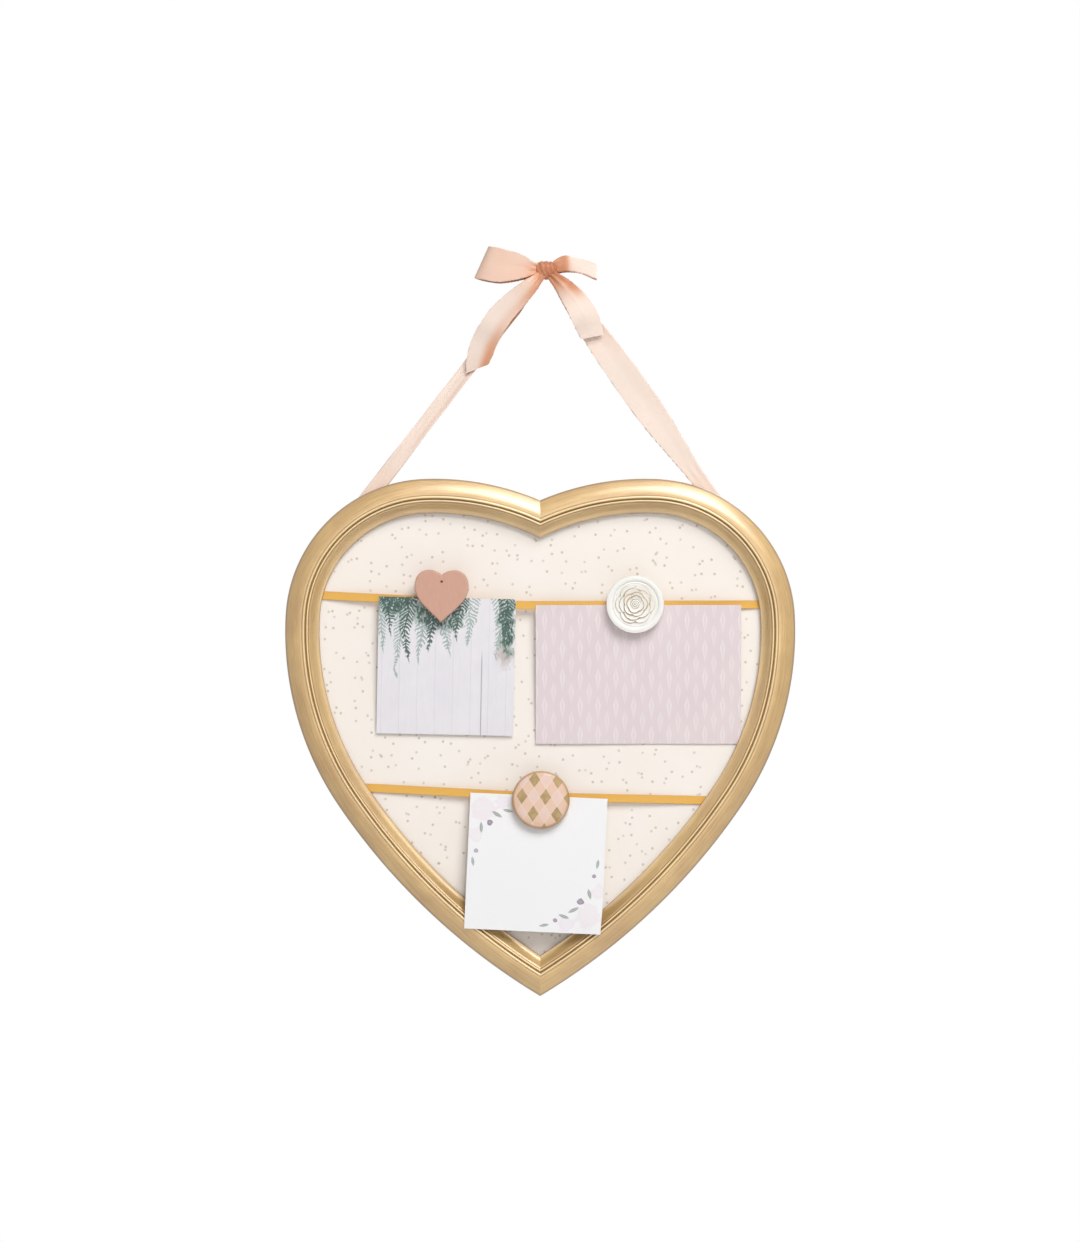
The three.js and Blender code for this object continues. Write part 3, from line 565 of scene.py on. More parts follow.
def moulding_profile():
    edge = [(0.8, 0.0), (0.24, 0.24), (0.0, 0.8), (0.0, 5.0), (0.0, 9.0), (0.0, EDGE_DEPTH - 0.6),
            (0.06, 13.3), (0.35, 14.0), (0.8, 14.55)]
    quirk = [(12.45, 19.35), (12.6, 19.45)]
    groove = [(14.75, 18.6), (14.85, 18.25), (15.05, 18.1), (15.25, 18.25), (15.35, 18.4)]
    shoulder = [(17.15, 17.2), (17.3, 16.75), (17.55, 16.6)]
    lip = [(24.7, 11.3), (24.93, 11.0), (LIP, 10.6), (LIP, 9.3), (24.8, LIP_BACK)]
    back = [(REBATE_INSET, LIP_BACK), (REBATE_INSET, LEDGE_DEPTH), (LEDGE_INSET, LEDGE_DEPTH),
            (LEDGE_INSET, 0.0)]
    band = swept((1.4, 15.0), (12.2, 19.55), 15)
    hollow = swept((17.9, 16.55), (24.3, 11.4), 13, 1.15)
    crest = bead((CREST_INSET, 19.1), (1.0, 0.9), 150)
    fine_bead = bead((FINE_BEAD_INSET, 18.0), (0.85, 0.6), 160)
    return edge + band + quirk + crest + groove + fine_bead + shoulder + hollow + lip + back


def rail_mesh(name, side):
    profile = moulding_profile()
    lines = [side_line(inset, side, RAIL_STATIONS) for inset, depth in profile]
    crest = side_line(CREST_INSET, side, RAIL_STATIONS)
    rings, notes = [], []
    for (*_, along), *across in zip(walk(crest), *lines):
        rings.append([spot(point.x, depth, point.y)
                      for point, (inset, depth) in zip(across, profile)])
        notes.append([(along + SIDE_APART * (side + 1), *point) for point in profile])
    return skin(name, rings, notes, degrees=38)


print("points in the profile:", len(moulding_profile()))

# %% [markdown]
# Gilding is metal leaf over a coloured ground, rubbed back. It isn't a mirror: the leaf is
# brushed along the moulding. The streaks are noise stretched along the length. The crests of
# both beads are painted paler as a highlight, and the hollow a little paler as painted light.
# The inset and depth noted on each point paint the grooves, the quirk, the shoulder, the outer
# edge and the lip browner: dirt together with painted shade.

# %% Antique gold leaf
def gold_leaf():
    leaf = Finish("antique_gold_leaf", Metallic=0.3, Specular_IOR_Level=0.5, Coat_Weight=0.9,
                  Coat_IOR=2.1, Coat_Roughness=0.31)
    along, inset, depth = leaf.notes()
    streaks = leaf.noise((along * 0.035, inset * 1.5, depth * 1.5), detail=4.0, roughness=0.62)
    fine = leaf.noise((along * 0.16, inset * 5.0, depth * 5.0), detail=2.0)
    clouds = leaf.noise(leaf.place(), 0.035, detail=2.0)
    wear = (streaks * 0.55 + fine * 0.25 + clouds * 0.30 - 0.05).between(0.28, 0.78)
    # Painted highlight: the crests of both beads are painted paler.
    painted_bead_highlight = inset.near(CREST_INSET, 0.3, 0.9).most(inset.near(FINE_BEAD_INSET, 0.2, 0.7))
    # Painted light: the hollow all round is painted a little paler.
    hollow = inset.between(17.6, 19.0) * inset.below(23.0, 24.2)
    # Dirt and painted shade: the groove, the quirk, the shoulder, the outer edge and the lip are
    # painted browner.
    dirt_and_shade = inset.near(15.05, 0.15, 0.75) * 0.7
    dirt_and_shade = dirt_and_shade.most(inset.near(17.25, 0.1, 0.5) * 0.6).most(inset.near(12.45, 0.05, 0.3) * 0.45)
    lip = inset.between(23.4, 25.0) * depth.between(8.0, 9.5)
    dirt_and_shade = dirt_and_shade.most(inset.below(0.3, 2.2) * 0.8).most(lip * 0.4) * (0.65 + fine * 0.6)
    back = depth.below(2.9, 3.2) * inset.between(0.5, 0.9)
    colour = leaf.layers(
        0xA77A36, (wear, 0xDAB569), (painted_bead_highlight.most(hollow * 0.3) * 0.5, 0xF3DDA6),
        (dirt_and_shade.least(1.0), 0x7E5A2C), (back, leaf.mix(streaks, 0xB38E62, 0xD3B387)))
    return leaf.surface(Base_Color=colour, Roughness=0.36 + fine * 0.16 + dirt_and_shade * 0.2,
                        bump=(streaks * 0.6 + fine * 0.4, 0.22, 0.4))


GOLD = gold_leaf()
rails = {}
for name, side in (("left", -1), ("right", 1)):
    rails[name] = new_piece(f"{name}_moulding", rail_mesh(f"{name}_rail", side), GOLD,
                            "frame_body", f"{name}_rail")
print("moulding points on one side:", len(rails["left"].data.vertices))

# %% [markdown]
# ## Elastics and the cloth panel
#
# The panel is a board faced with printed cloth, let into the rebate behind the moulding. Each
# elastic is stretched across the cloth, passes under the lip, goes round the board's edge
# through a notch and ends behind it. These few numbers place both, as they do in the solids.

# %% Where the elastics run
PANEL_INSET = 17.2
CLOTH_BACK = 7.0
CLOTH_FRONT = 7.4
BAND_WIDTH = 6.0
BAND_THICKNESS = 0.8
STAND_OFF = 13.0
NOTCH_HALF = BAND_WIDTH / 2 + 1.0
NOTCH_DEPTH = 2.5
BANDS = {
    "upper": {"ends": {-1: 292.1, 1: 285.4}, "kink": (-11.0, 284.9), "flat": (-98.0, 84.0)},
    "lower": {"ends": {-1: 151.5, 1: 142.4}, "kink": (0.6, 145.2), "flat": (-8.0, 9.0)},
}


def band_slope(band, x):
    kink_x, kink = band["kink"]
    side = -1 if x < kink_x else 1
    end = band["ends"][side]
    return end - kink, side * half_width(end, LIP) - kink_x


def band_level(band, x):
    rise, run = band_slope(band, x)
    return band["kink"][1] + rise * ((x - band["kink"][0]) / run)


def notch_floor(band, side):
    return half_width(band["ends"][side] - NOTCH_HALF, PANEL_INSET) - NOTCH_DEPTH


for name, band in BANDS.items():
    print(name, "elastic's level at the middle:", round(band_level(band, 0), 1))

# %% [markdown]
# The cloth is one sheet, cut to the board's heart shape with a notch at each end of each
# elastic. It is glued on, so it hardly moves; a grid of cuts gives it points, and a very small
# unevenness keeps it from looking like a plate.

# %% Dotted cloth
PANEL_STATIONS = (20, 50, 26, 36)
CUT_STEP = 0.012
CUT_RANGES = ((0, -0.18, 0.18), (2, -0.52, -0.14))
UNEVENNESS = 0.06 * MM
# size of the repeat, where it starts, strength of the dots
DOTS = ((17.0, 3.7, 0.42), (19.0, 11.3, 0.55), (23.0, 7.1, 0.34), (27.0, 19.9, 0.5))


def panel_outline():
    points = []
    for side in (1, -1):
        line = side_line(PANEL_INSET, side, PANEL_STATIONS)
        for band in BANDS.values():
            floor = side * notch_floor(band, side)
            level = band_level(band, floor)
            low, high = level - NOTCH_HALF, level + NOTCH_HALF
            above = [p for p in line if p.y > high]
            below = [p for p in line if p.y < low]
            places = [(side * half_width(high, PANEL_INSET), high), (floor, high), (floor, low),
                      (side * half_width(low, PANEL_INSET), low)]
            line = above + [Vector(place) for place in places] + below
        points += line if side > 0 else line[::-1][1:-1]
    return points


def cloth_mesh():
    made = bmesh.new()
    made.faces.new([made.verts.new(spot(p.x, CLOTH_BACK, p.y)) for p in panel_outline()])
    for axis, low, high in CUT_RANGES:
        normal = Vector((axis == 0, 0, axis == 2))
        for k in range(1, int((high - low) / CUT_STEP)):
            bmesh.ops.bisect_plane(made, geom=made.verts[:] + made.edges[:] + made.faces[:],
                                   plane_co=normal * (low + k * CUT_STEP), plane_no=normal)
    raised = bmesh.ops.extrude_face_region(made, geom=made.faces[:])
    for vert in [item for item in raised["geom"] if isinstance(item, bmesh.types.BMVert)]:
        uneven = math.sin(vert.co.x * 61) * math.sin(vert.co.z * 47 + 1.3)
        vert.co.y -= (CLOTH_FRONT - CLOTH_BACK) * MM + UNEVENNESS * uneven
    mesh = bpy.data.meshes.new("dotted_cloth")
    made.to_mesh(mesh)
    made.free()
    shade_by_angle(mesh)
    return mesh


def cloth_finish():
    cloth = Finish("dotted_cloth", Specular_IOR_Level=0.2, Sheen_Weight=0.15)
    x, z = cloth.parts(cloth.place())[::2]
    base = cloth.mix(cloth.noise(cloth.place(), 0.02), 0xF8EFE5, 0xFCF6F0)
    ways = {"voronoi_dimensions": "2D", "feature": "F1"}
    for size, seed, strength in DOTS:
        sockets = {"Vector": cloth.join(x / size + seed, z / size + seed * 0.7, 0.0),
                   "Scale": 1.0, "Randomness": 0.85}
        dot = cloth.node("ShaderNodeTexVoronoi", ways, sockets).below(0.5 / size, 1.35 / size)
        base = cloth.mix(dot * strength, base, 0xA99A82)
    weave = (x * 9.0).wave() * (z * 9.0).wave()
    return cloth.surface(Base_Color=base, Roughness=0.9 + weave * 0.03, bump=(weave, 0.25, 0.1))


cloth = new_piece("panel_face_cloth", cloth_mesh(), cloth_finish(), "frame_body",
                  "panel_cloth")

# %% [markdown]
# An elastic is a flat woven tape. Its route is drawn in plan, its corners are rounded by cutting
# them off, and a flat section with soft edges is carried along it. The ribs of the weave are a
# bump that reads the distance along the tape.

# %% Elastic tape
GAP = 0.3
END_BEHIND = 20
LIP_BEFORE = 0.8
ROUTE_STEP = 3.0
TAPE_TOP = [(-1.0, 0.35), (-0.94, 1.0), (-0.8, 0.92), (0.0, 0.86), (0.8, 0.92), (0.94, 1.0),
            (1.0, 0.35)]
TAPE_UNDER = [(across, -out) for across, out in TAPE_TOP[::-1]]
TAPE_SECTION = TAPE_UNDER[-1:] + TAPE_TOP + TAPE_UNDER[:-1]


def rounded(route):
    cut = [route[0]]
    for a, b in zip(route, route[1:]):
        cut += [a * 0.75 + b * 0.25, a * 0.25 + b * 0.75]
    return cut + [route[-1]]


def band_route(band):
    half = BAND_THICKNESS / 2
    behind, before = LEDGE_DEPTH - GAP - half, CLOTH_FRONT + GAP + half
    ends = {}
    for side in (-1, 1):
        wrap = notch_floor(band, side) + GAP + half
        lip = half_width(band["ends"][side], LIP) - LIP_BEFORE
        corners = [Vector((side * x, depth)) for x, depth in
                   ((wrap - END_BEHIND, behind), (wrap, behind), (wrap, before))]
        ends[side] = rounded(corners) + [Vector((side * lip, before))]
    left, right = band["flat"]
    flat = [Vector((x, STAND_OFF)) for x in (left, band["kink"][0], right)]
    return ends[-1] + flat + ends[1][::-1]


def band_mesh(name, band):
    route = band_route(band)
    fine = []
    for a, b in zip(route, route[1:]):
        pieces = max(1, int((b - a).length / ROUTE_STEP))
        fine += [a.lerp(b, k / pieces) for k in range(pieces)]
    fine.append(route[-1])
    half = BAND_THICKNESS / 2
    rings, notes = [], []
    for here, run, along in walk(fine):
        level = band_level(band, here.x)
        ring = [(across * BAND_WIDTH / 2, out) for across, out in TAPE_SECTION]
        rings.append([spot(here.x - run.y * out * half, here.y + run.x * out * half, level + across)
                      for across, out in ring])
        notes.append([(along, across, out) for across, out in ring])
    return skin(name, rings, notes, degrees=50)


def elastic_finish():
    tape = Finish("mustard_elastic", Specular_IOR_Level=0.3, Sheen_Weight=0.2)
    along, across = tape.notes()[:2]
    ribs, cords = (along * 5.2).ripple(), (across * 7.5).ripple()
    colour = tape.layers(0xE5AC4A, (ribs * 0.35 + cords * 0.25, 0xF4C872),
                         (abs(across).between(2.3, 3.0) * 0.5, 0xC08A3C))
    return tape.surface(Base_Color=colour, Roughness=0.62 + ribs * 0.12,
                        bump=(ribs * 0.6 + cords * 0.4, 0.4, 0.12))


ELASTIC = elastic_finish()
for name, band in BANDS.items():
    tape = new_piece(f"{name}_elastic", band_mesh(f"{name}_band", band), ELASTIC, "frame_body",
                     f"{name}_band")
    print(tape.name, "points:", len(tape.data.vertices))

# %% [markdown]
# ## Pegs and what they hold
#
# A mini peg has two birch legs and a wire spring, and its jaws pinch the elastic and the top of
# a print. The print's lower edge rests further back or further forward, so peg, charm and print
# lean together. `CLIPS` has each one's place, and `lean` turns a place in millimetres beside
# the peg's jaws into a place in the model.

# %% Places beside each peg
PRINT_BACK = 0.9
CHARM_BACK = 4.9
CLIPS = {
    "heart": {"x": -72.0, "band": "upper", "roll": -1.6, "size": (100.0, 100.0), "shift": 4.3,
              "top": 2.6, "rest": CLOTH_FRONT + 1.8, "rise": 4.4},
    "rose": {"x": 69.2, "band": "upper", "roll": 0.16, "size": (150.0, 101.5), "shift": 2.5,
             "top": 0.0, "rest": CLOTH_FRONT + 0.5, "rise": 0.9},
    "lattice": {"x": 0.6, "band": "lower", "roll": 1.3, "size": (100.0, 99.0), "shift": -1.5,
                "top": 0.6, "rest": 21.1, "rise": -2.5},
}


def lean(clip):
    band = BANDS[clip["band"]]
    rise, run = band_slope(band, clip["x"])
    tilt = math.atan2(STAND_OFF + PRINT_BACK - clip["rest"], clip["size"][1] - clip["top"])
    seat = Matrix.Translation((clip["x"], -STAND_OFF, band_level(band, clip["x"])))
    roll = Matrix.Rotation(-math.atan(rise / run) + math.radians(clip["roll"]), 4, "Y")
    return Matrix.Translation((0, 0, -NAIL_RISE)) @ seat @ roll @ Matrix.Rotation(tilt, 4, "X")


def charm_place(name):
    clip = CLIPS[name]
    return lean(clip) @ Matrix.Translation((0, -CHARM_BACK, clip["rise"]))


def put(place, x, forward, z):
    return place @ Vector((x, -forward, z)) * MM


for name in CLIPS:
    print(name, "charm at", tuple(round(v, 1) for v in charm_place(name).translation))

# %% [markdown]
# The heart charm is cut from thin board and painted a dusty pink. Its outline is four Bézier
# curves, and rings that step round a quarter circle ease both edges, as sanding does. A small
# hanging hole is bored just under the cleft: `carve` cuts a shape out of a piece with a Boolean
# and keeps only the result. `circle` gives the points of the hole, and of the discs later.

# %% Carving
HOLE_SIDES = 24


def carve(piece, cutters):
    for cutter in cutters:
        tool = in_scene("cutter", cutter)
        cut = piece.modifiers.new("cut", "BOOLEAN")
        cut.object, cut.solver = tool, "EXACT"
        cut_piece = piece.evaluated_get(bpy.context.evaluated_depsgraph_get())
        result = bpy.data.meshes.new_from_object(cut_piece)
        piece.modifiers.clear()
        result.name = piece.data.name
        piece.data = result
        bpy.data.objects.remove(tool)
    print(piece.name, "cuts:", len(cutters), "points:", len(piece.data.vertices))


def circle(radius, sides):
    angles = [k / sides * math.tau for k in range(sides)]
    return [(radius * math.cos(angle), radius * math.sin(angle)) for angle in angles]


print("sides of a bored hole:", HOLE_SIDES)

# %% [markdown]
# The curves are drawn in shares of the charm's width and height, so one table fits any size.
# The outline is then widened ring by ring, from the flat back to the slightly domed face.

# %% Heart charm
CHARM_SIZE = (39.4, 38.7)
CHARM_THICK = 4.0
CHARM_EASE = 1.1
CHARM_DOME = (0.7, 0.04)
SHARPEST = 0.6
CLEFT_SHARE = 0.36
# two handles and the end of each curve, in shares of the charm's width and height
CHARM_CURVES = [
    (0.08, 0.5, 0.5, 0.6, 0.5, 0.16), (0.5, -0.1, 0.14, -0.34, 0.0, -0.5),
    (-0.14, -0.34, -0.5, -0.1, -0.5, 0.16), (-0.5, 0.6, -0.08, 0.5, 0.0, CLEFT_SHARE),
]
HOLE_BELOW_CLEFT = 2.9
HOLE_STEPS = [(1.3, 2.0), (0.9, -3.8), (1.3, -4.5), (1.6, -6.0)]


def charm_outline(steps=22):
    w, h = (size - 2 * CHARM_EASE for size in CHARM_SIZE)
    here = Vector((0.0, CLEFT_SHARE * h))
    points = []
    for shares in CHARM_CURVES:
        first, second, last = (Vector((x * w, y * h)) for x, y in zip(shares[::2], shares[1::2]))
        for k in range(steps):
            t = k / steps
            points.append(here * (1 - t) ** 3 + first * 3 * t * (1 - t) ** 2
                          + second * 3 * t * t * (1 - t) + last * t ** 3)
        here = last
    return points


def widened(points, by):
    moved = []
    for k, here in enumerate(points):
        before = (here - points[k - 1]).normalized()
        after = (points[(k + 1) % len(points)] - here).normalized()
        out = Vector((-before.y - after.y, before.x + after.x)).normalized()
        lean_out = max(SHARPEST, out.dot(Vector((-before.y, before.x))))
        moved.append(here + out * by / lean_out)
    return moved


def heart_charm_mesh(place):
    quarter = [(CHARM_EASE * math.sin(angle), CHARM_EASE * math.cos(angle))
               for angle in (k / 4 * math.pi / 2 for k in range(5))]
    steps = [(rise, CHARM_EASE - run) for rise, run in quarter]
    steps += [(run, CHARM_THICK - CHARM_EASE + rise) for rise, run in quarter]
    steps.append((-CHARM_DOME[0], CHARM_THICK + CHARM_DOME[1]))
    outline = charm_outline()
    rings = [[put(place, p.x, deep, p.y) for p in widened(outline, wide)] for wide, deep in steps]
    notes = [[(wide, deep, 0.0)] * len(outline) for wide, deep in steps]
    return skin("heart_charm", rings, notes, degrees=40)


def charm_paint():
    coat = Finish("dusty_pink_paint", Specular_IOR_Level=0.3)
    wide = coat.notes()[0]
    grain = coat.noise(coat.stretch(coat.place(), (0.9, 0.3, 0.12)), detail=4.0)
    brush = coat.noise(coat.stretch(coat.place(), (2.4, 2.4, 0.25)), detail=2.0)
    colour = coat.layers(0xC99A86, (grain * 0.7 + brush * 0.3, 0xD8AD99),
                         (wide.between(0.5, 1.15) * 0.4, 0xB9866F))
    return coat.surface(Base_Color=colour, Roughness=0.62 + brush * 0.12,
                        bump=(brush * 0.6 + grain, 0.25, 0.2))


heart_place = charm_place("heart")
heart_charm = new_piece("pink_heart", heart_charm_mesh(heart_place), charm_paint(), "heart_jaw",
                        "heart_charm")
hole_rise = CLEFT_SHARE * (CHARM_SIZE[1] - 2 * CHARM_EASE) - HOLE_BELOW_CLEFT
hole_place = heart_place @ Matrix.Translation((0, 0, hole_rise))
hole = skin("hole", [[put(hole_place, x, -y, z) for x, z in circle(radius, HOLE_SIDES)]
                     for radius, y in HOLE_STEPS])
carve(heart_charm, [hole])
heart_charm.modifiers.new("even_face", "WEIGHTED_NORMAL").keep_sharp = True

# %% [markdown]
# The rose is cast in white resin: a raised rim, a hollow with a fine ring, and petals that
# overlap in turns around a rolled bud. It is a height over a polar grid. Each ring of petals is
# a scalloped step that lifts towards its lip, and every ring in is turned by half a petal. What
# lies lower than its surroundings is noted as a recess, where the gold wash gathers.

# %% Rose disc
DISC_RADIUS = 21.0
INNER_RADIUS = 0.25
BEZEL = 0.6
DISC_EDGE = ((0.3, -0.15), (0.08, -0.5), (0.0, -1.0))
DISC_BACK = ((0.0, 0.5), (0.15, 0.15), (BEZEL, 0.0))
ROSE_RIM = 3.3
ROSE_HEIGHT = 5.4
BUD_RADIUS = 3.9
# how far out a ring of petals reaches, and how many it has
PETAL_RINGS = ((14.2, 6), (11.4, 5), (8.6, 5), (6.0, 4))
PETAL_TURN = 0.62
RIM_FOOT = 2.35
FINE_RING = 15.7
AROUND = [(a, b) for a in (-4, -2, 2, 4) for b in (-4, 0, 4)]


def rose_height(r, angle):
    rim_line = 0.9 * DISC_RADIUS
    if r > 0.8 * DISC_RADIUS:
        share = (r - rim_line) / (DISC_RADIUS - rim_line)
        return RIM_FOOT + 0.95 * math.sqrt(max(0.0, 1 - share * share))
    height = 2.3 + 0.35 * math.exp(-((r - FINE_RING) / 0.35) ** 2)
    for k, (reach, petals) in enumerate(PETAL_RINGS):
        turn = (angle + k * PETAL_TURN) * petals / 2
        edge = reach * (0.84 + 0.16 * abs(math.cos(turn)) ** 0.55)
        if r < edge:
            lip = (r / edge) ** 5
            height = 2.55 + 0.62 * k + 0.85 * lip + 0.22 * math.sin(turn + 0.6) * lip
    if r < BUD_RADIUS:
        curl = (angle / math.tau + r / 1.35) % 1.0
        groove = math.exp(-(min(curl, 1 - curl) / 0.13) ** 2)
        height = 4.55 + 0.8 * (1 - r / BUD_RADIUS) - 0.55 * groove
    return min(height, ROSE_HEIGHT)


def disc_mesh(name, place, height, rim_height, radial=96, sides=200):
    radii = [lerp(INNER_RADIUS, DISC_RADIUS - BEZEL, i / radial) for i in range(radial + 1)]
    heights = [[height(r, j / sides * math.tau) for j in range(sides)] for r in radii]
    rings, notes = [], []
    for i, r in enumerate(radii):
        places = list(zip(circle(r, sides), heights[i]))
        rings.append([put(place, x, rise, z) for (x, z), rise in places])
        notes.append([])
        for j, ((x, z), rise) in enumerate(places):
            near = [heights[min(max(i + a, 0), radial)][(j + b) % sides] for a, b in AROUND]
            notes[-1].append((x, z, max(0.0, sum(near) / len(near) - rise)))
    edge = [(inset, rim_height + drop) for inset, drop in DISC_EDGE] + list(DISC_BACK)
    for inset, rise in edge:
        ring = circle(DISC_RADIUS - inset, sides)
        rings.append([put(place, x, rise, z) for x, z in ring])
        notes.append([(x, z, 0.0) for x, z in ring])
    return skin(name, rings, notes, degrees=48)


def distance(x, z):
    return (x * x + z * z) ** 0.5


def resin_finish():
    resin = Finish("white_resin", Specular_IOR_Level=0.45)
    x, z, recess = resin.notes()
    patches = resin.noise(resin.place(), 0.16)
    middle = distance(x, z).below(9.0, 16.5)
    wash = (recess * (0.5 + patches)).between(0.05, 0.5) * (0.25 + middle * 0.75)
    colour = resin.layers(0xF5F3EE, (wash, 0xB79A62),
                          (patches.between(0.45, 0.75) * middle * 0.28, 0xDCCDA8))
    return resin.surface(Base_Color=colour, Roughness=0.38 + wash * 0.25, bump=(patches, 0.1, 0.3))


def new_disc(name, peg, height, rim_height, finish, slot, *density):
    mesh = disc_mesh(name, charm_place(peg), height, rim_height, *density)
    print(name, "points:", len(mesh.vertices))
    return new_piece(name, mesh, finish, f"{peg}_jaw", f"{peg}_disc")


new_disc("carved_rose", "rose", rose_height, ROSE_RIM, resin_finish(), "white_resin")

# %% [markdown]
# The lower peg carries a glass dome over a printed argyle, the diamond pattern known from knitted
# socks. The diamonds are worked out in the shader: turned by 45 degrees and stretched, they are
# the squares of a chequered board, and which square a point lies in gives its colour.

# %% Lattice disc
DOME_RIM = 2.35
DOME_DENSITY = (40, 144)
DIAMOND = (4.3, 6.2)


def dome_height(r, angle):
    return 1.9 + 2.3 * math.sqrt(max(0.0, 1 - (r / DISC_RADIUS) ** 2))


def argyle_finish():
    paper = Finish("argyle_under_glass", Coat_Roughness=0.08, Specular_IOR_Level=0.4)
    x, z = paper.notes()[:2]
    across, up = (x + 1.0) / DIAMOND[0], (z - 2.0) / DIAMOND[1]
    ways = (across + up) / 2, (across - up) / 2
    cloudy = paper.noise(paper.place(), 0.22)
    first, second = (abs((way / 2 + 0.25).from_middle()).below(0.235, 0.265) for way in ways)
    line, crossing = (abs(way.from_middle()).between(0.44, 0.49) for way in ways)
    middle_tone = paper.mix(cloudy, paper.mix(0.5, 0xD9AF96, 0xE2C0A8), 0xE3BFA6)
    brown = paper.mix(cloudy.between(0.3, 0.75), 0x9A7A44, 0xBC9C66)
    pink = paper.mix(cloudy, 0xE6CBC3, 0xE0BCA9)
    radius = distance(x, z)
    colour = paper.layers(
        middle_tone, (first * second, brown), ((1 - first) * (1 - second), pink),
        (line.most(crossing) * 0.5, 0xEAD9C6), (radius.between(18.8, 20.2) * 0.8, 0xB08A5C))
    return paper.surface(Base_Color=colour, Roughness=0.42 + cloudy * 0.12,
                         Coat_Weight=radius.below(19.0, 20.0) * 0.6)


new_disc("argyle_dome", "lattice", dome_height, DOME_RIM, argyle_finish(), "lattice_paper",
         *DOME_DENSITY)

# %% [markdown]
# ## The prints
#
# Each print is thick paper: a sheet with a slight curve, because it is pinched at one place and
# rests along an edge. It is a grid of points, so that the curve and a lifted corner are real
# shape. What is printed on it is worked out from the distances noted on the points, in
# millimetres from its top left corner, and only the front has it.

# %% A thin sheet over a grid of points
SHEET_SHARP = 50.0


def sheet_mesh(name, grid, thickness, notes, back_notes=None):
    rows, columns = len(grid), len(grid[0])

    def normal(i, j):
        along = grid[min(i + 1, rows - 1)][j] - grid[max(i - 1, 0)][j]
        across = grid[i][min(j + 1, columns - 1)] - grid[i][max(j - 1, 0)]
        return along.cross(across).normalized()

    points = [(grid[i][j] + normal(i, j) * face * thickness / 2) * MM
              for face in (1, -1) for i in range(rows) for j in range(columns)]
    lay = [note for row in notes + (back_notes or notes) for note in row]
    back = rows * columns
    faces = []
    for a in (i * columns + j for i in range(rows - 1) for j in range(columns - 1)):
        cell = (a, a + 1, a + columns + 1, a + columns)
        faces += [cell, tuple(back + k for k in cell[:1] + cell[:0:-1])]
    rim = list(range(columns)) + [i * columns + columns - 1 for i in range(1, rows)]
    rim += [(rows - 1) * columns + j for j in range(columns - 2, -1, -1)]
    rim += [i * columns for i in range(rows - 2, 0, -1)]
    faces += [(b, a, back + a, back + b) for a, b in zip(rim, rim[1:] + rim[:1])]
    return noted_mesh(name, points, faces, lay, SHEET_SHARP)


print("a sheet's edges stay crisp from", SHEET_SHARP, "degrees")

# %% [markdown]
# Each print is laid out in the place of its own peg. A bend takes shares across and down, and
# gives in millimetres how far the paper comes forward there and how far it draws in.

# %% A curved sheet of paper
PAPER = 0.34
PAPER_FORWARD = PRINT_BACK + 0.2
PAPER_GRID = (60, 44)


def print_piece(name, clip, bend, material, body, stands_for):
    place = lean(clip)
    width, height = clip["size"]
    left, top = clip["shift"] - width / 2, clip["top"]
    columns, rows = PAPER_GRID
    grid, fronts, backs = [], [], []
    for i in range(rows + 1):
        down = i / rows * height
        rights = [j / columns * width for j in range(columns + 1)]
        bends = [bend(right / width, down / height) for right in rights]
        grid.append([
            place @ Vector((left + right - inward, -(forward + PAPER_FORWARD), top - down))
            for right, (forward, inward) in zip(rights, bends)])
        fronts.append([(right, down, 1.0) for right in rights])
        backs.append([(right, down, 0.0) for right in rights])
    mesh = sheet_mesh(name, grid, PAPER, fronts, backs)
    print(name, "faces:", len(mesh.polygons))
    return new_piece(name, mesh, material, body, stands_for)


def photo_bend(u, v):
    return 0.45 * math.sin(v * math.pi) * (0.4 + u) + 0.5 * max(0.0, u - 0.8) * v, 0.0


def lilac_bend(u, v):
    wave = 0.9 * math.sin(u * 5.2 + 0.5) * max(0.0, 0.72 - u)
    return (0.35 + wave) * ease(v) * v + 0.15 * math.sin(v * math.pi), 0.0


def floral_bend(u, v):
    curl = ease((u - 0.8) / 0.2) * ease((v - 0.74) / 0.26)
    hollow = 0.7 * math.sin(v * math.pi) * (1 - abs(2 * u - 1) * 0.3)
    return hollow + 2.0 * curl + 0.5 * max(0.0, 0.2 - u) * v, 0.7 * curl


print("the lower card's corner curls out by", floral_bend(1, 1)[0], "mm")

# %% [markdown]
# The left print shows a pale boarded wall with green fronds hanging in from the top corners.
# A frond is a stem with leaves on both sides: stripes that slant away from the stem, kept where
# they are close enough to it, and shorter towards its end. Each row of the table is one frond:
# where its stem starts, its length, how far its leaves reach, their pitch and the stem's sway.

# %% Print with fronds
FAR_FRONDS = (
    (3, 42, 8, 3.1, 1.5), (15, 60, 8, 2.7, -2.0), (31, 50, 9, 3.3, 1.2),
    (50, 44, 9, 3.0, -1.6), (66, 36, 8, 2.9, -1.4), (88, 46, 7, 3.2, 1.6),
)
NEAR_FRONDS = (
    (8, 30, 7, 2.6, -1.2), (21, 48, 8, 2.9, 1.5), (38, 40, 9, 3.0, 1.8),
    (58, 33, 8, 2.8, 1.2), (93, 40, 6.5, 3.1, -1.0),
)
# middle of a tuft of leaves, right and down, and its half width and half height
TUFTS = ((12, 2, 17, 12), (44, 12, 20, 13), (94, 20, 7, 22))
DRY_TUFT = (93.0, 40.0, 8.0, 12.0)
BOARD = 13.0


def paper_parts(name):
    sheet = Finish(name, Specular_IOR_Level=0.35)
    right, down, front = sheet.notes()
    return sheet, right, down, front.between(0.4, 0.6)


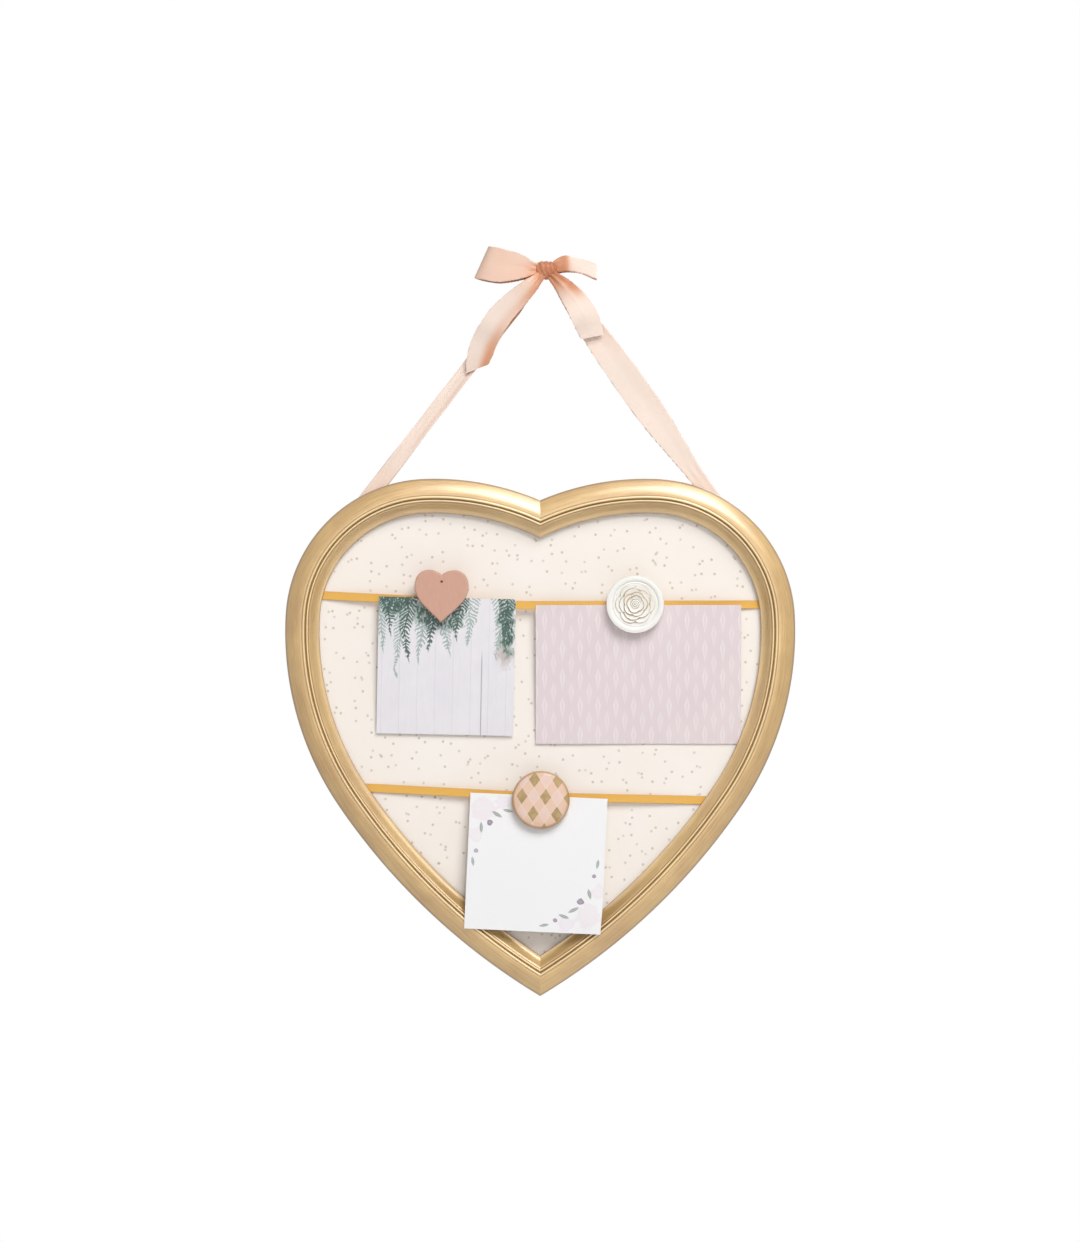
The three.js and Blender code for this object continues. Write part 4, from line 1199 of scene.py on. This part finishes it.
def fronds(right, down, table):
    masks = []
    for stem, length, reach, pitch, sway in table:
        off = abs(right - stem - (down * 0.11 + stem).wave() * sway)
        leaves = ((down - off * 0.9) * (math.tau / pitch) + stem * 2.0).wave()
        room = (1 - down / length) * reach
        leaf = leaves.between(-0.25, 0.25) * (off - room).below(-0.8, 0.6)
        past_end = down - length
        line = off.below(0.25, 0.6) * past_end.below(-3.0, 0.0)
        masks.append(leaf.most(line) * past_end.below(-1.0, 0.5))
    return most_of(masks)


def most_of(masks):
    first, *rest = masks
    for mask in rest:
        first = first.most(mask)
    return first


def oval(right, down, x, y, wide, high):
    return (((right - x) / wide) ** 2.0 + ((down - y) / high) ** 2.0) ** 0.5


def fronds_finish():
    sheet, flat_right, flat_down, front = paper_parts("print_with_fronds")
    stir_right, stir_down = (
        sheet.noise((flat_right, flat_down, layer), scale) - 0.5
        for layer, scale in ((5.0, 0.13), (9.0, 0.16)))
    right, down = flat_right + stir_right * 7.0, flat_down + stir_down * 6.0
    soft = sheet.noise((flat_right, flat_down, 0.0), 0.05)
    streaks = sheet.noise((right * 0.5, down * 0.045, 0.0))
    joints = abs(((flat_right + 10.0) / BOARD).from_middle()).between(0.465, 0.495)
    gap = flat_right.near(76.0, 0.25, 0.55) * flat_down.between(36.0, 48.0)
    shade = (1 - (right / 60.0 + down / 50.0)).between(0.0, 1.0)
    far, near = fronds(right, down, FAR_FRONDS), fronds(right, down, NEAR_FRONDS)
    tone = sheet.noise((right, down, 3.0), 0.22, detail=2.0)
    ragged = sheet.noise((right * 0.42, down * 0.16, 7.0), detail=4.0, roughness=0.65) - 0.5
    blades = sheet.noise((right * 0.75, down * 0.22 + right * 0.1, 2.0), detail=2.0, roughness=0.6)
    for tuft in TUFTS:
        reach = oval(right, down, *tuft) + ragged * 2.4
        near = near.most(reach.below(0.6, 0.85) * blades.between(0.4, 0.5))
        far = far.most(reach.below(0.85, 1.15) * blades.between(0.3, 0.45))
    dry = (oval(right, down, *DRY_TUFT) + ragged * 1.6).below(0.3, 1.1)
    colour = sheet.layers(
        0xDDD9E0, (soft * 0.6 + streaks * 0.4, 0xF3F0F2), (joints * 0.22, 0xB4B0BA),
        (gap * 0.6, 0x77727C), (shade * 0.35, 0xAEBDBC), (dry * 0.55, 0xA78D78),
        (far * 0.75, sheet.mix(tone, 0x5F7F76, 0xA3BBAE)),
        (near * 0.92, sheet.mix(tone, 0x16302D, 0x3F6659)))
    return sheet.surface(Base_Color=sheet.mix(front, 0xEFEEEE, colour), Roughness=0.34 + soft * 0.1)


print_piece("print_with_fronds", CLIPS["heart"], photo_bend, fronds_finish(),
            "photo", "photo_print")

# %% [markdown]
# The card on the right is lilac with pale drops in staggered rows. Shading one repeat of a
# pattern is enough: the fraction of the distance over the repeat starts again in every tile.

# %% Lilac card
REPEAT = (13.0, 21.0)


def lilac_finish():
    sheet, right, down, front = paper_parts("lilac_card_paper")
    soft = sheet.noise((right, down, 0.0), 0.035)
    fibre = sheet.noise((right, down, 0.0), 1.6)
    colour = sheet.mix(soft, 0xDFCFD2, 0xEADDDE)
    for offset, depth in ((0.0, 0.55), (0.5, 0.4)):
        across = (right / REPEAT[0] + offset).from_middle() * REPEAT[0]
        along = (down / REPEAT[1] + offset).from_middle() * REPEAT[1]
        taper = 2.1 - abs(along) * 0.24 + along * 0.05
        drop = (taper - abs(across)).between(-0.15, 0.3)
        core = (taper * 0.45 - abs(across)).between(-0.15, 0.3)
        colour = sheet.layers(colour, (drop * depth, 0xF5EDEE), (core * depth * 0.6, 0xD8C4C8))
    return sheet.surface(Base_Color=sheet.mix(front, 0xF1ECEA, colour),
                         Roughness=0.66 + fibre * 0.1, bump=(fibre, 0.12, 0.1))


print_piece("lilac_card_sheet", CLIPS["rose"], lilac_bend, lilac_finish(),
            "lilac", "lilac_card")

# %% [markdown]
# The lower card is white, with pale pink washes in two corners and dark buds and grey-green
# leaves over them. A wash is a round patch whose outline is pushed in and out by noise and whose
# pigment gathers at the rim, and a leaf is a long one. A new layout takes only a new table.

# %% Card with watercolour buds
# right, down, reach, colour, strength
BLOOMS = (
    (10, 12, 10.0, 0xE9C9D3, 0.3), (24, 6, 6.0, 0xE4C6DC, 0.3), (5, 30, 6.0, 0xEBD2DC, 0.3),
    (15, 21, 2.6, 0x6B3F6E, 0.9), (33, 9, 1.9, 0x7F5581, 0.9), (90, 86, 10.0, 0xE9CDD8, 0.3),
    (74, 93, 6.5, 0xE2CCE2, 0.3), (96, 68, 6.0, 0xEBD3DB, 0.3), (84, 76, 2.8, 0x6B3F6E, 0.9),
    (66, 90, 2.0, 0x7A4F7C, 0.9), (93, 57, 1.8, 0x7F5581, 0.9), (6, 42, 1.8, 0x8A6A90, 0.8),
)
# right, down, half length, half width, turn in radians
LEAVES = (
    (20, 15, 4.6, 1.4, 0.5), (9, 25, 4.4, 1.3, 1.5), (28, 12, 4.4, 1.2, 0.2),
    (40, 6, 4.2, 1.1, -0.2), (4, 50, 4.0, 1.1, 1.4), (79, 82, 4.8, 1.4, -0.5),
    (90, 70, 4.4, 1.3, 1.3), (72, 87, 4.4, 1.2, 0.3), (58, 94, 4.2, 1.1, -0.2),
    (95, 48, 4.0, 1.1, 1.7),
)


def watercolour_finish():
    sheet, right, down, front = paper_parts("watercolour_card_paper")
    ragged = sheet.noise((right, down, 0.0), 0.22) - 0.5
    grain = sheet.noise((right, down, 0.0), 0.9)
    colour = sheet.mix(grain * 0.4, 0xF5F4F4, 0xEDECEE)
    for x, y, reach, tint, strength in BLOOMS:
        out = distance(right - x, down - y) / reach + ragged * 1.3
        wash = out.below(0.7, 1.0)
        rim = out.between(0.45, 0.85) * wash
        colour = sheet.mix(wash * strength * 0.7 + rim * strength * 0.3, colour, tint)
    for x, y, reach, thin, turn in LEAVES:
        off_right, off_down = right - x, down - y
        along = off_right * math.cos(turn) + off_down * math.sin(turn)
        aside = off_down * math.cos(turn) - off_right * math.sin(turn)
        out = (along / reach) ** 2.0 + abs(aside / thin) + ragged * 0.5
        vein = abs(aside).below(0.12, 0.4)
        colour = sheet.mix(out.below(0.8, 1.0) * (0.75 - vein * 0.25), colour, 0x6F8078)
    return sheet.surface(Base_Color=sheet.mix(front, 0xF2F1F0, colour), Roughness=0.72,
                         bump=(grain, 0.2, 0.12))


print_piece("watercolour_card_sheet", CLIPS["lattice"], floral_bend, watercolour_finish(),
            "floral", "floral_card")

# %% [markdown]
# ## The ribbon
#
# One length of thin satin ribbon, 25 mm wide, is stapled behind the moulding at both ends and
# tied in a bow above the nail. A ribbon keeps its width: where it looks narrow, the rest of it
# is folded behind. So each part is given as rows along its middle line, and each row says how
# wide the shown face is. What is left over is folded to and fro behind that face. A curve with a
# bevel would be quicker, but it can't fold. `smooth_rows` runs a smooth line through the rows.

# %% Rows along a ribbon
RIBBON_WIDTH = 25.0
RIBBON_THICKNESS = 0.3
KNOT = Vector((4.5, -11.5, 529.5))


def smooth_rows(rows, steps):
    smooth = []
    for k in range(steps + 1):
        place = k / steps * (len(rows) - 1)
        i = min(int(place), len(rows) - 2)
        f = place - i
        near = rows[max(i - 1, 0)], rows[i], rows[i + 1], rows[min(i + 2, len(rows) - 1)]
        smooth.append([0.5 * (2 * q + (r - p) * f + (2 * p - 5 * q + 4 * r - s) * f * f
                              + (3 * q - p - 3 * r + s) * f ** 3) for p, q, r, s in zip(*near)])
    return smooth


def ribbon_row(place, width, lie, lean_degrees, crease, painted_shade, painted_side_shade):
    return [*place, width * RIBBON_WIDTH, lie, math.radians(lean_degrees),
            crease * RIBBON_WIDTH, painted_shade, painted_side_shade]


print("ribbon:", RIBBON_WIDTH, "mm wide")

# %% [markdown]
# Across the ribbon, a point that lies further out than the shown face's edge turns back there,
# as often as it has to, and each turn puts it one layer further behind. Both sides do this, half
# a layer apart. Close to the knot the layers are pressed into fine ridges as well. Each point
# notes how far along and across the ribbon it lies, and how much painted shade darkens its
# colour there, with more on the layers folded behind.

# %% The ribbon's folded cross-section
LAYER = 0.45
ACROSS = 56
PINCH_FROM = 0.62
PINCH_OVER = 0.4
RIDGE_HEIGHT = 0.9
RIDGES = 2.5
SWAY = 0.35
# Painted shade added to the layers folded behind.
FOLD_SHADE = 0.28


def folded_across(width, ridges):
    half = width / 2
    section = []
    for k in range(ACROSS + 1):
        out = lerp(-RIBBON_WIDTH / 2, RIBBON_WIDTH / 2, k / ACROSS)
        turns = (abs(out) / half + 1) / 2
        layer = int(turns - 1e-9)
        place = (2 * (turns - layer) - 1) * (-1) ** layer * half
        side = 1 if out >= 0 else -1
        behind = layer * 2 * LAYER - (LAYER if layer and side > 0 else 0)
        behind += ridges * (1 - math.cos(place / half * math.pi * RIDGES)) / 2
        section.append((side * place, behind, layer))
    return section


def ribbon_grid(rows, steps, behind_sign):
    smooth = smooth_rows(rows, steps)
    grid, notes = [], []
    for row, (here, tangent, along) in zip(smooth, walk([Vector(row[:3]) for row in smooth])):
        width, lie, lean, crease, painted_shade, painted_side_shade = row[3:]
        across = Vector((math.cos(lie) * math.cos(lean), -math.sin(lean),
                         math.sin(lie) * math.cos(lean)))
        normal = tangent.cross(across).normalized()
        pinch = ease((PINCH_FROM * RIBBON_WIDTH - width) / (PINCH_OVER * RIBBON_WIDTH))
        ridges = RIDGE_HEIGHT * pinch * (1 if crease > 0.1 else 0.3)
        sway = SWAY * math.sin(along / 8.3 + row[0] * 0.05)
        points, lay = [], []
        for place, behind, layer in folded_across(width, ridges):
            bulge = crease * (1 - abs(2 * place / width)) + sway * math.sin(place / width * 3)
            depth = bulge + behind_sign * (behind - LAYER)
            points.append(here + across * place + normal * depth - Vector((0, 0, NAIL_RISE)))
            # Painted shade: darker peach in the middle and towards one edge, and more on the layers
            # behind.
            tint = painted_shade + painted_side_shade * ease((place / width + 0.1) * 2.2)
            tint += FOLD_SHADE * min(layer, 1)
            lay.append((along, place, min(max(tint, 0.0), 1.0)))
        grid.append(points)
        notes.append(lay)
    return grid, notes, along


print("points across:", ACROSS + 1)

# %% [markdown]
# Each row has: right, up and forward from the knot in ribbon widths, the shown width in ribbon
# widths, the angle at which the width lies in the plane of the wall, how far it leans forward,
# the crease, and the painted shade there, in the middle and towards its far edge. The satin is
# painted deep peach as shade in folds, in pinches and inside the loops, and as less light coming
# through where it lies over itself. It is left nearly white, as painted light, where light comes
# through one layer. Before the rows stand the number of stations and the side to fold to.

# %% Rows of the bow
# The last two numbers of each row are painted shade, in the middle and towards the far edge.
BOW = {
    "bow_left_loop": (64, 1, [
        (-0.12, 0.02, 0.10, 0.24, 90, 0, 0.02, 0.75, 0.0),
        (-0.40, 0.04, 0.17, 0.42, 90, 0, 0.03, 0.60, -0.2),
        (-0.72, 0.09, 0.22, 0.72, 90, 0, 0.03, 0.40, -0.1),
        (-1.30, 0.12, 0.25, 0.98, 86, 0, 0.02, 0.34, 0.0),
        (-1.72, 0.19, 0.20, 1.0, 72, 0, 0.0, 0.32, 0.0),
        (-1.88, 0.22, 0.04, 1.0, 65, 0, 0.0, 0.35, 0.0),
        (-1.72, 0.17, -0.09, 1.0, 68, 0, 0.0, 0.40, 0.0),
        (-1.25, 0.08, -0.08, 0.94, 80, 0, 0.0, 0.45, 0.0),
        (-0.64, 0.03, -0.05, 0.62, 88, 0, 0.0, 0.55, 0.0),
        (-0.12, 0.0, -0.03, 0.24, 90, 0, 0.0, 0.90, 0.0),
    ]),
    "bow_right_loop": (60, -1, [
        (0.12, 0.06, 0.06, 0.26, 90, -10, 0.01, 0.85, 0.0),
        (0.34, 0.14, 0.07, 0.46, 92, -26, 0.02, 0.80, 0.0),
        (0.56, 0.19, 0.05, 0.66, 92, -44, 0.02, 0.75, 0.0),
        (0.74, 0.17, 0.04, 0.80, 92, -54, 0.01, 0.22, 0.0),
        (1.02, 0.11, 0.03, 0.92, 90, -58, 0.0, 0.18, 0.0),
        (1.32, 0.02, 0.02, 0.96, 90, -58, 0.0, 0.18, 0.0),
        (1.46, -0.05, 0.01, 0.97, 90, -58, 0.0, 0.25, 0.0),
        (1.36, -0.03, -0.03, 0.93, 90, -58, 0.0, 0.30, 0.0),
        (0.95, 0.13, -0.08, 0.86, 90, -56, 0.0, 0.40, 0.0),
        (0.52, 0.12, -0.12, 0.50, 90, -38, 0.0, 0.60, 0.0),
        (0.12, -0.02, -0.10, 0.26, 90, -10, 0.0, 0.90, 0.0),
    ]),
    "bow_left_tail": (56, -1, [
        (-0.04, -0.06, 0.10, 0.24, -35, 0, 0.02, 0.80, 0.0),
        (-0.24, -0.24, 0.22, 0.32, -37, 0, 0.04, 0.55, 0.35),
        (-0.48, -0.48, 0.31, 0.48, -38, 0, 0.06, 0.28, 0.40),
        (-0.86, -0.84, 0.26, 0.62, -37, 4, 0.05, 0.12, 0.30),
        (-1.28, -1.26, 0.18, 0.70, -36, 8, 0.04, 0.05, 0.22),
        (-1.58, -1.68, 0.11, 0.74, -30, 9, 0.03, 0.04, 0.36),
        (-1.81, -2.10, -0.01, 0.76, -24, 10, 0.02, 0.05, 0.50),
        (-1.95, -2.50, -0.07, 0.74, -6, 8, 0.01, 0.08, 0.55),
        (-2.03, -2.88, -0.12, 0.70, 21, 10, 0.0, 0.15, 0.55),
    ]),
    "bow_right_tail": (48, -1, [
        (0.06, -0.06, 0.08, 0.26, 50, 0, 0.02, 0.90, 0.0),
        (0.28, -0.28, 0.20, 0.38, 48, 0, 0.05, 0.75, 0.1),
        (0.50, -0.50, 0.28, 0.52, 46, 0, 0.06, 0.45, 0.40),
        (0.69, -0.73, 0.24, 0.64, 42, -5, 0.06, 0.20, 0.38),
        (0.86, -0.94, 0.19, 0.72, 38, -8, 0.05, 0.10, 0.12),
        (1.02, -1.20, 0.16, 0.78, 33, -9, 0.04, 0.06, 0.04),
        (1.14, -1.42, 0.10, 0.80, 28, -10, 0.03, 0.06, 0.0),
        (1.26, -1.70, -0.02, 0.75, 20, -8, 0.01, 0.06, 0.0),
        (1.34, -1.94, -0.09, 0.68, 12, -6, 0.0, 0.06, 0.0),
    ]),
}


def bow_rows(shares):
    return [ribbon_row(KNOT + Vector((right, -forward, up)) * RIBBON_WIDTH, width,
                       math.radians(lie), *rest)
            for right, up, forward, width, lie, *rest in shares]


print("parts of the bow:", list(BOW))

# %% [markdown]
# The strands run straight from their staples in the channels behind the moulding up to the
# knot. The left one is folded to less than half its width, the right one is nearly open. Their
# rows have the share of the way to the knot, then width, lean, crease and painted shade as above.

# %% Rows of the strands
STRANDS = {
    "left": (-1, [
        (0.12, 0.46, 0, 0.01, 0.10, 0.0), (0.35, 0.44, 10, 0.02, 0.08, 0.10),
        (0.62, 0.44, 14, 0.02, 0.10, 0.12), (0.85, 0.42, 10, 0.03, 0.45, 0.2),
        (1.0, 0.24, 0, 0.02, 0.80, 0.0),
    ]),
    "right": (1, [
        (0.12, 0.54, 0, 0.01, 0.06, 0.0), (0.35, 0.84, 6, 0.01, 0.04, 0.04),
        (0.62, 0.82, 6, 0.01, 0.05, 0.05), (0.80, 0.62, 7, 0.06, 0.30, 0.10),
        (0.88, 0.50, 6, 0.06, 0.75, 0.0), (1.0, 0.24, 0, 0.02, 0.90, 0.0),
    ]),
}
STRAND_STEPS = 110
FOOT_DEPTH = 1.55
FOOT_SHARE = 0.46
# Painted shade at the strands' feet.
FOOT_SHADE = 0.12
FOOT_ANGLE = math.radians(67)
FOOT_STEPS = (-16, -8, 0, 8)
END_ASIDE = 0.4 * 8.5
END_BELOW = 0.25 * 6.5
END_DEPTH = 0.62


def strand_line(side):
    centre, radius = ARCS[1][:2]
    foot = on_arc(centre, radius, FOOT_ANGLE, side)
    run = Vector((KNOT.x + side * END_ASIDE, KNOT.z - END_BELOW)) - foot
    return foot, run


def strand_rows(side, shares):
    foot, run = strand_line(side)
    along = run.normalized()
    lie = math.atan2(along.y, along.x) - math.pi / 2
    rows = [ribbon_row((foot.x + along.x * way, -FOOT_DEPTH, foot.y + along.y * way),
                       FOOT_SHARE, lie, 0, 0, FOOT_SHADE, 0.0) for way in FOOT_STEPS]
    for share, *rest in shares:
        place = foot + run * share
        depth = lerp(FOOT_DEPTH, END_DEPTH * -KNOT.y, share)
        rows.append(ribbon_row((place.x, -depth, place.y), rest[0], lie, *rest[1:]))
    return rows


for name, (side, shares) in STRANDS.items():
    print(name, "strand's foot:", tuple(round(v, 1) for v in strand_line(side)[0]))

# %% [markdown]
# Satin has its warp threads floating on the face, so it is smooth, softly shiny and finely
# ribbed along its length. The painted shade noted on each point picks the colour between the
# satin's pale blush and a deep peach that stands for shade in the folds and less light through
# layered satin.

# %% Satin
def satin_finish():
    satin = Finish("blush_satin", Specular_IOR_Level=0.42, Sheen_Weight=0.3, Sheen_Roughness=0.4)
    along, across, painted_shade = satin.notes()
    threads = (across * 11.0).ripple()
    fibre = satin.noise((along * 0.12, across * 1.1, 0.0))
    # Painted shade: from pale blush to deep peach, picked by the shade noted on each point.
    stops = [(0.0, 0xF9E8DB), (0.3, 0xEBC9B5), (0.6, 0xDB9F7C), (1.0, 0xB66E48)]
    ramp = satin.node("ShaderNodeValToRGB", {"stops": stops}, {0: painted_shade + fibre * 0.06 - 0.03})
    return satin.surface(Base_Color=ramp, Roughness=0.40 + fibre * 0.08,
                         bump=(threads * 0.5 + fibre * 0.5, 0.15, 0.1))


SATIN = satin_finish()


def ribbon_piece(name, node, rows, steps, behind_sign):
    grid, notes, length = ribbon_grid(rows, steps, behind_sign)
    mesh = sheet_mesh(node, grid, RIBBON_THICKNESS, notes)
    print(node, "length:", round(length), "mm")
    piece = new_piece(name, mesh, SATIN, "frame_body", node)
    return piece, (RIBBON_WIDTH * MM, length * MM)


for name, (steps, sign, shares) in BOW.items():
    part, flat = ribbon_piece(f"{name}_satin", name, bow_rows(shares), steps, sign)
strands = {}
for name, (side, shares) in STRANDS.items():
    strands[name] = ribbon_piece(f"{name}_strand_satin", f"ribbon_{name}_strand",
                                 strand_rows(side, shares), STRAND_STEPS, 1)

# %% [markdown]
# The knot is the same ribbon wound tightly over the crossing, so it is a rounded lump with its
# folds running round it. It is a closed form: a ball pulled towards a box, with ridges that
# follow the winding and slant a little.

# %% Knot
KNOT_HALF = Vector((8.7, 5.8, 6.9))
KNOT_RINGS = 40
KNOT_SIDES = 64
POLE_GAP = 0.02
KNOT_SHADE = 0.84


def pulled(value, power):
    return math.copysign(abs(value) ** power, value)


def knot_mesh():
    rings, notes = [], []
    for i in range(KNOT_RINGS + 1):
        lat = lerp(-0.5, 0.5, (i + POLE_GAP) / (KNOT_RINGS + 2 * POLE_GAP)) * math.pi
        right, out = pulled(math.sin(lat), 0.8), abs(math.cos(lat)) ** 0.75
        ring, lay = [], []
        for forward, up in circle(1.0, KNOT_SIDES):
            forward, up = pulled(forward, 0.9) * out, pulled(up, 0.85) * out
            slant = right * 7.5 + up * 1.4 + 0.5 * math.sin(up * 3.0 + forward)
            groove = 1 - abs(math.sin(slant))
            swell = 1 - 0.11 * groove ** 2 * out + 0.03 * math.sin(up * 4 + right * 2)
            place = KNOT + Vector((right * KNOT_HALF.x, -forward * KNOT_HALF.y * swell,
                                   up * KNOT_HALF.z * swell))
            ring.append((place - Vector((0, 0, NAIL_RISE))) * MM)
            # Painted shade: the knot is painted deep peach, darker in the grooves of the winding
            # and towards the right.
            painted_shade = min(1.0, KNOT_SHADE + 0.3 * groove + 0.12 * right)
            lay.append((up * 10, right * 10, painted_shade))
        rings.append(ring)
        notes.append(lay)
    return skin("knot", rings, notes, degrees=60)


knot = new_piece("knot_satin", knot_mesh(), SATIN, "frame_body", "ribbon_knot")
for name, (strand, flat) in strands.items():
    [knot] if name == "left" else []
print("knot points:", len(knot.data.vertices))

# %% [markdown]
# The moulding's back has two channels, in which the ribbon's ends lie under their staples, and a
# shallow pocket over each mitre for a corrugated fastener. They are cut into the fine moulding
# where the solids have them, with blocks shaped to fit. Every block starts behind the wall
# plane, so that the cut is clean.

# %% Channels and pockets in the back
CHANNEL_LOW = (-6.75, -2.2, -17.0)
CHANNEL_HIGH = (6.75, 1.0, 25.0)
POCKET_ROOM = Vector((0.3, 0.3, 0.3))
BEHIND_WALL = 1.0


def block_mesh(name, place, low, high):
    corners = [(low[0], low[2]), (high[0], low[2]), (high[0], high[2]), (low[0], high[2])]
    rings = [[put(place, x, -y, z) for x, z in corners] for y in (low[1], high[1])]
    return skin(name, rings)


for name, (side, shares) in STRANDS.items():
    foot, run = strand_line(side)
    turn = Matrix.Rotation(math.atan2(run.x, run.y), 4, "Y")
    place = Matrix.Translation((foot.x, 0, foot.y - NAIL_RISE)) @ turn
    cutters = [block_mesh("channel", place, CHANNEL_LOW, CHANNEL_HIGH)]
    for node in ("cleft_fastener", "tip_fastener"):
        low, high = (Vector(corner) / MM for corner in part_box(node))
        low, high = low - POCKET_ROOM, high + POCKET_ROOM
        high.y = BEHIND_WALL
        cutters.append(block_mesh("pocket", Matrix.Identity(4), low, high))
    carve(rails[name], cutters)

# %% [markdown]
# ## Wood, board and metal
#
# The legs, screws, buttons, staples, fasteners and the backing board are already right as
# solids, so they stay and get a finish. Birch has faint long grain and small dark flecks.
# Hardboard is pressed fibre: a dense brown mottle. Zinc plating is bluish grey with a slight
# crystalline pattern. Brass wire for the springs is brighter where it is rubbed.

# %% Birch, hardboard and metal
def birch_finish():
    wood = Finish("birch", Specular_IOR_Level=0.3)
    grain = wood.noise(wood.stretch(wood.place(), (1.1, 1.1, 0.11)), detail=5.0, roughness=0.6)
    flecks = wood.noise(wood.stretch(wood.place(), (3.5, 3.5, 0.9)), detail=2.0)
    colour = wood.layers(0xD9BC8E, (grain, 0xEAD6B2),
                         (flecks.between(0.62, 0.75) * 0.45, 0xA98253))
    return wood.surface(Base_Color=colour, Roughness=0.6 + grain * 0.15, bump=(grain, 0.3, 0.2))


def hardboard_finish():
    board = Finish("hardboard", Specular_IOR_Level=0.25)
    fibre = board.noise(board.place(), 0.9, detail=6.0, roughness=0.7)
    patches = board.noise(board.place(), 0.03, detail=2.0)
    colour = board.mix(fibre * 0.6 + patches * 0.4, 0x8F6A47, 0xB48D64)
    return board.surface(Base_Color=colour, Roughness=0.78 + fibre * 0.12, bump=(fibre, 0.35, 0.3))


def zinc_finish():
    zinc = Finish("zinc", Metallic=0.9)
    sockets = {"Vector": zinc.place(), "Scale": 0.8}
    crystals = zinc.parts(zinc.node("ShaderNodeTexVoronoi", None, sockets, output=1))
    scuff = zinc.noise(zinc.place(), 1.4, detail=4.0)
    colour = zinc.mix(crystals[0] * 0.5 + scuff * 0.5, 0xA9ABAC, 0xCDCFD0)
    return zinc.surface(Base_Color=colour, Roughness=0.3 + scuff * 0.25)


def brass_finish():
    brass = Finish("brass_wire", Metallic=0.95)
    scuff = brass.noise(brass.place(), 1.8, detail=4.0)
    colour = brass.mix(scuff, 0xB8944F, 0xE0C27C)
    return brass.surface(Base_Color=colour, Roughness=0.28 + scuff * 0.2)


KEPT = {"backing_panel": hardboard_finish()}
zinc, birch = zinc_finish(), birch_finish()
for name in ("cleft_fastener", "tip_fastener", "ribbon_left_staple", "ribbon_right_staple"):
    KEPT[name] = zinc
for corner in ("upper_left", "upper_right", "lower_left", "lower_right"):
    KEPT[corner + "_button"] = KEPT[corner + "_screw"] = zinc
for peg in CLIPS:
    KEPT[peg + "_peg_back"] = KEPT[peg + "_peg_front"] = birch
for name, material in KEPT.items():
    frame["nodes"][name].material_slots[0].material = material
print("solids with a new finish:", len(KEPT))

# %% [markdown]
# A peg's spring twists as the peg opens: one arm stays on the back leg and the other goes with
# the front leg. Riding on one leg alone, the wire would cut into the other. Here each spring is a
# copy of its solid, shaded smooth and finished in brass, and the solid is hidden.

# %% Brass springs
WIRE_SHARP = 65

BRASS = brass_finish()
for joint in frame["record"]["behaviour"]["joints"]:
    if not joint["name"].endswith("_jaw_open"):
        continue
    node = joint["parent"] + "_spring"
    wire = frame["nodes"][node].data.copy()
    wire.materials.clear()
    wire.materials.append(BRASS)
    shade_by_angle(wire, WIRE_SHARP)
    spring = in_scene(joint["parent"] + "_coil", wire)
    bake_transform(spring)
    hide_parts(node)
    print(spring.name, "points:", len(wire.vertices))

# %% [markdown]
# ## Size
#
# The sizes of the packed and of the dressed model are printed in millimetres.

# %% Sizes of both models
dressed_box = [list(corner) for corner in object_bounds()]
for name, box in (("solids", solid_box), ("dressed", dressed_box)):
    print(name, [round((high - low) / MM, 1) for low, high in zip(*box)], "mm")
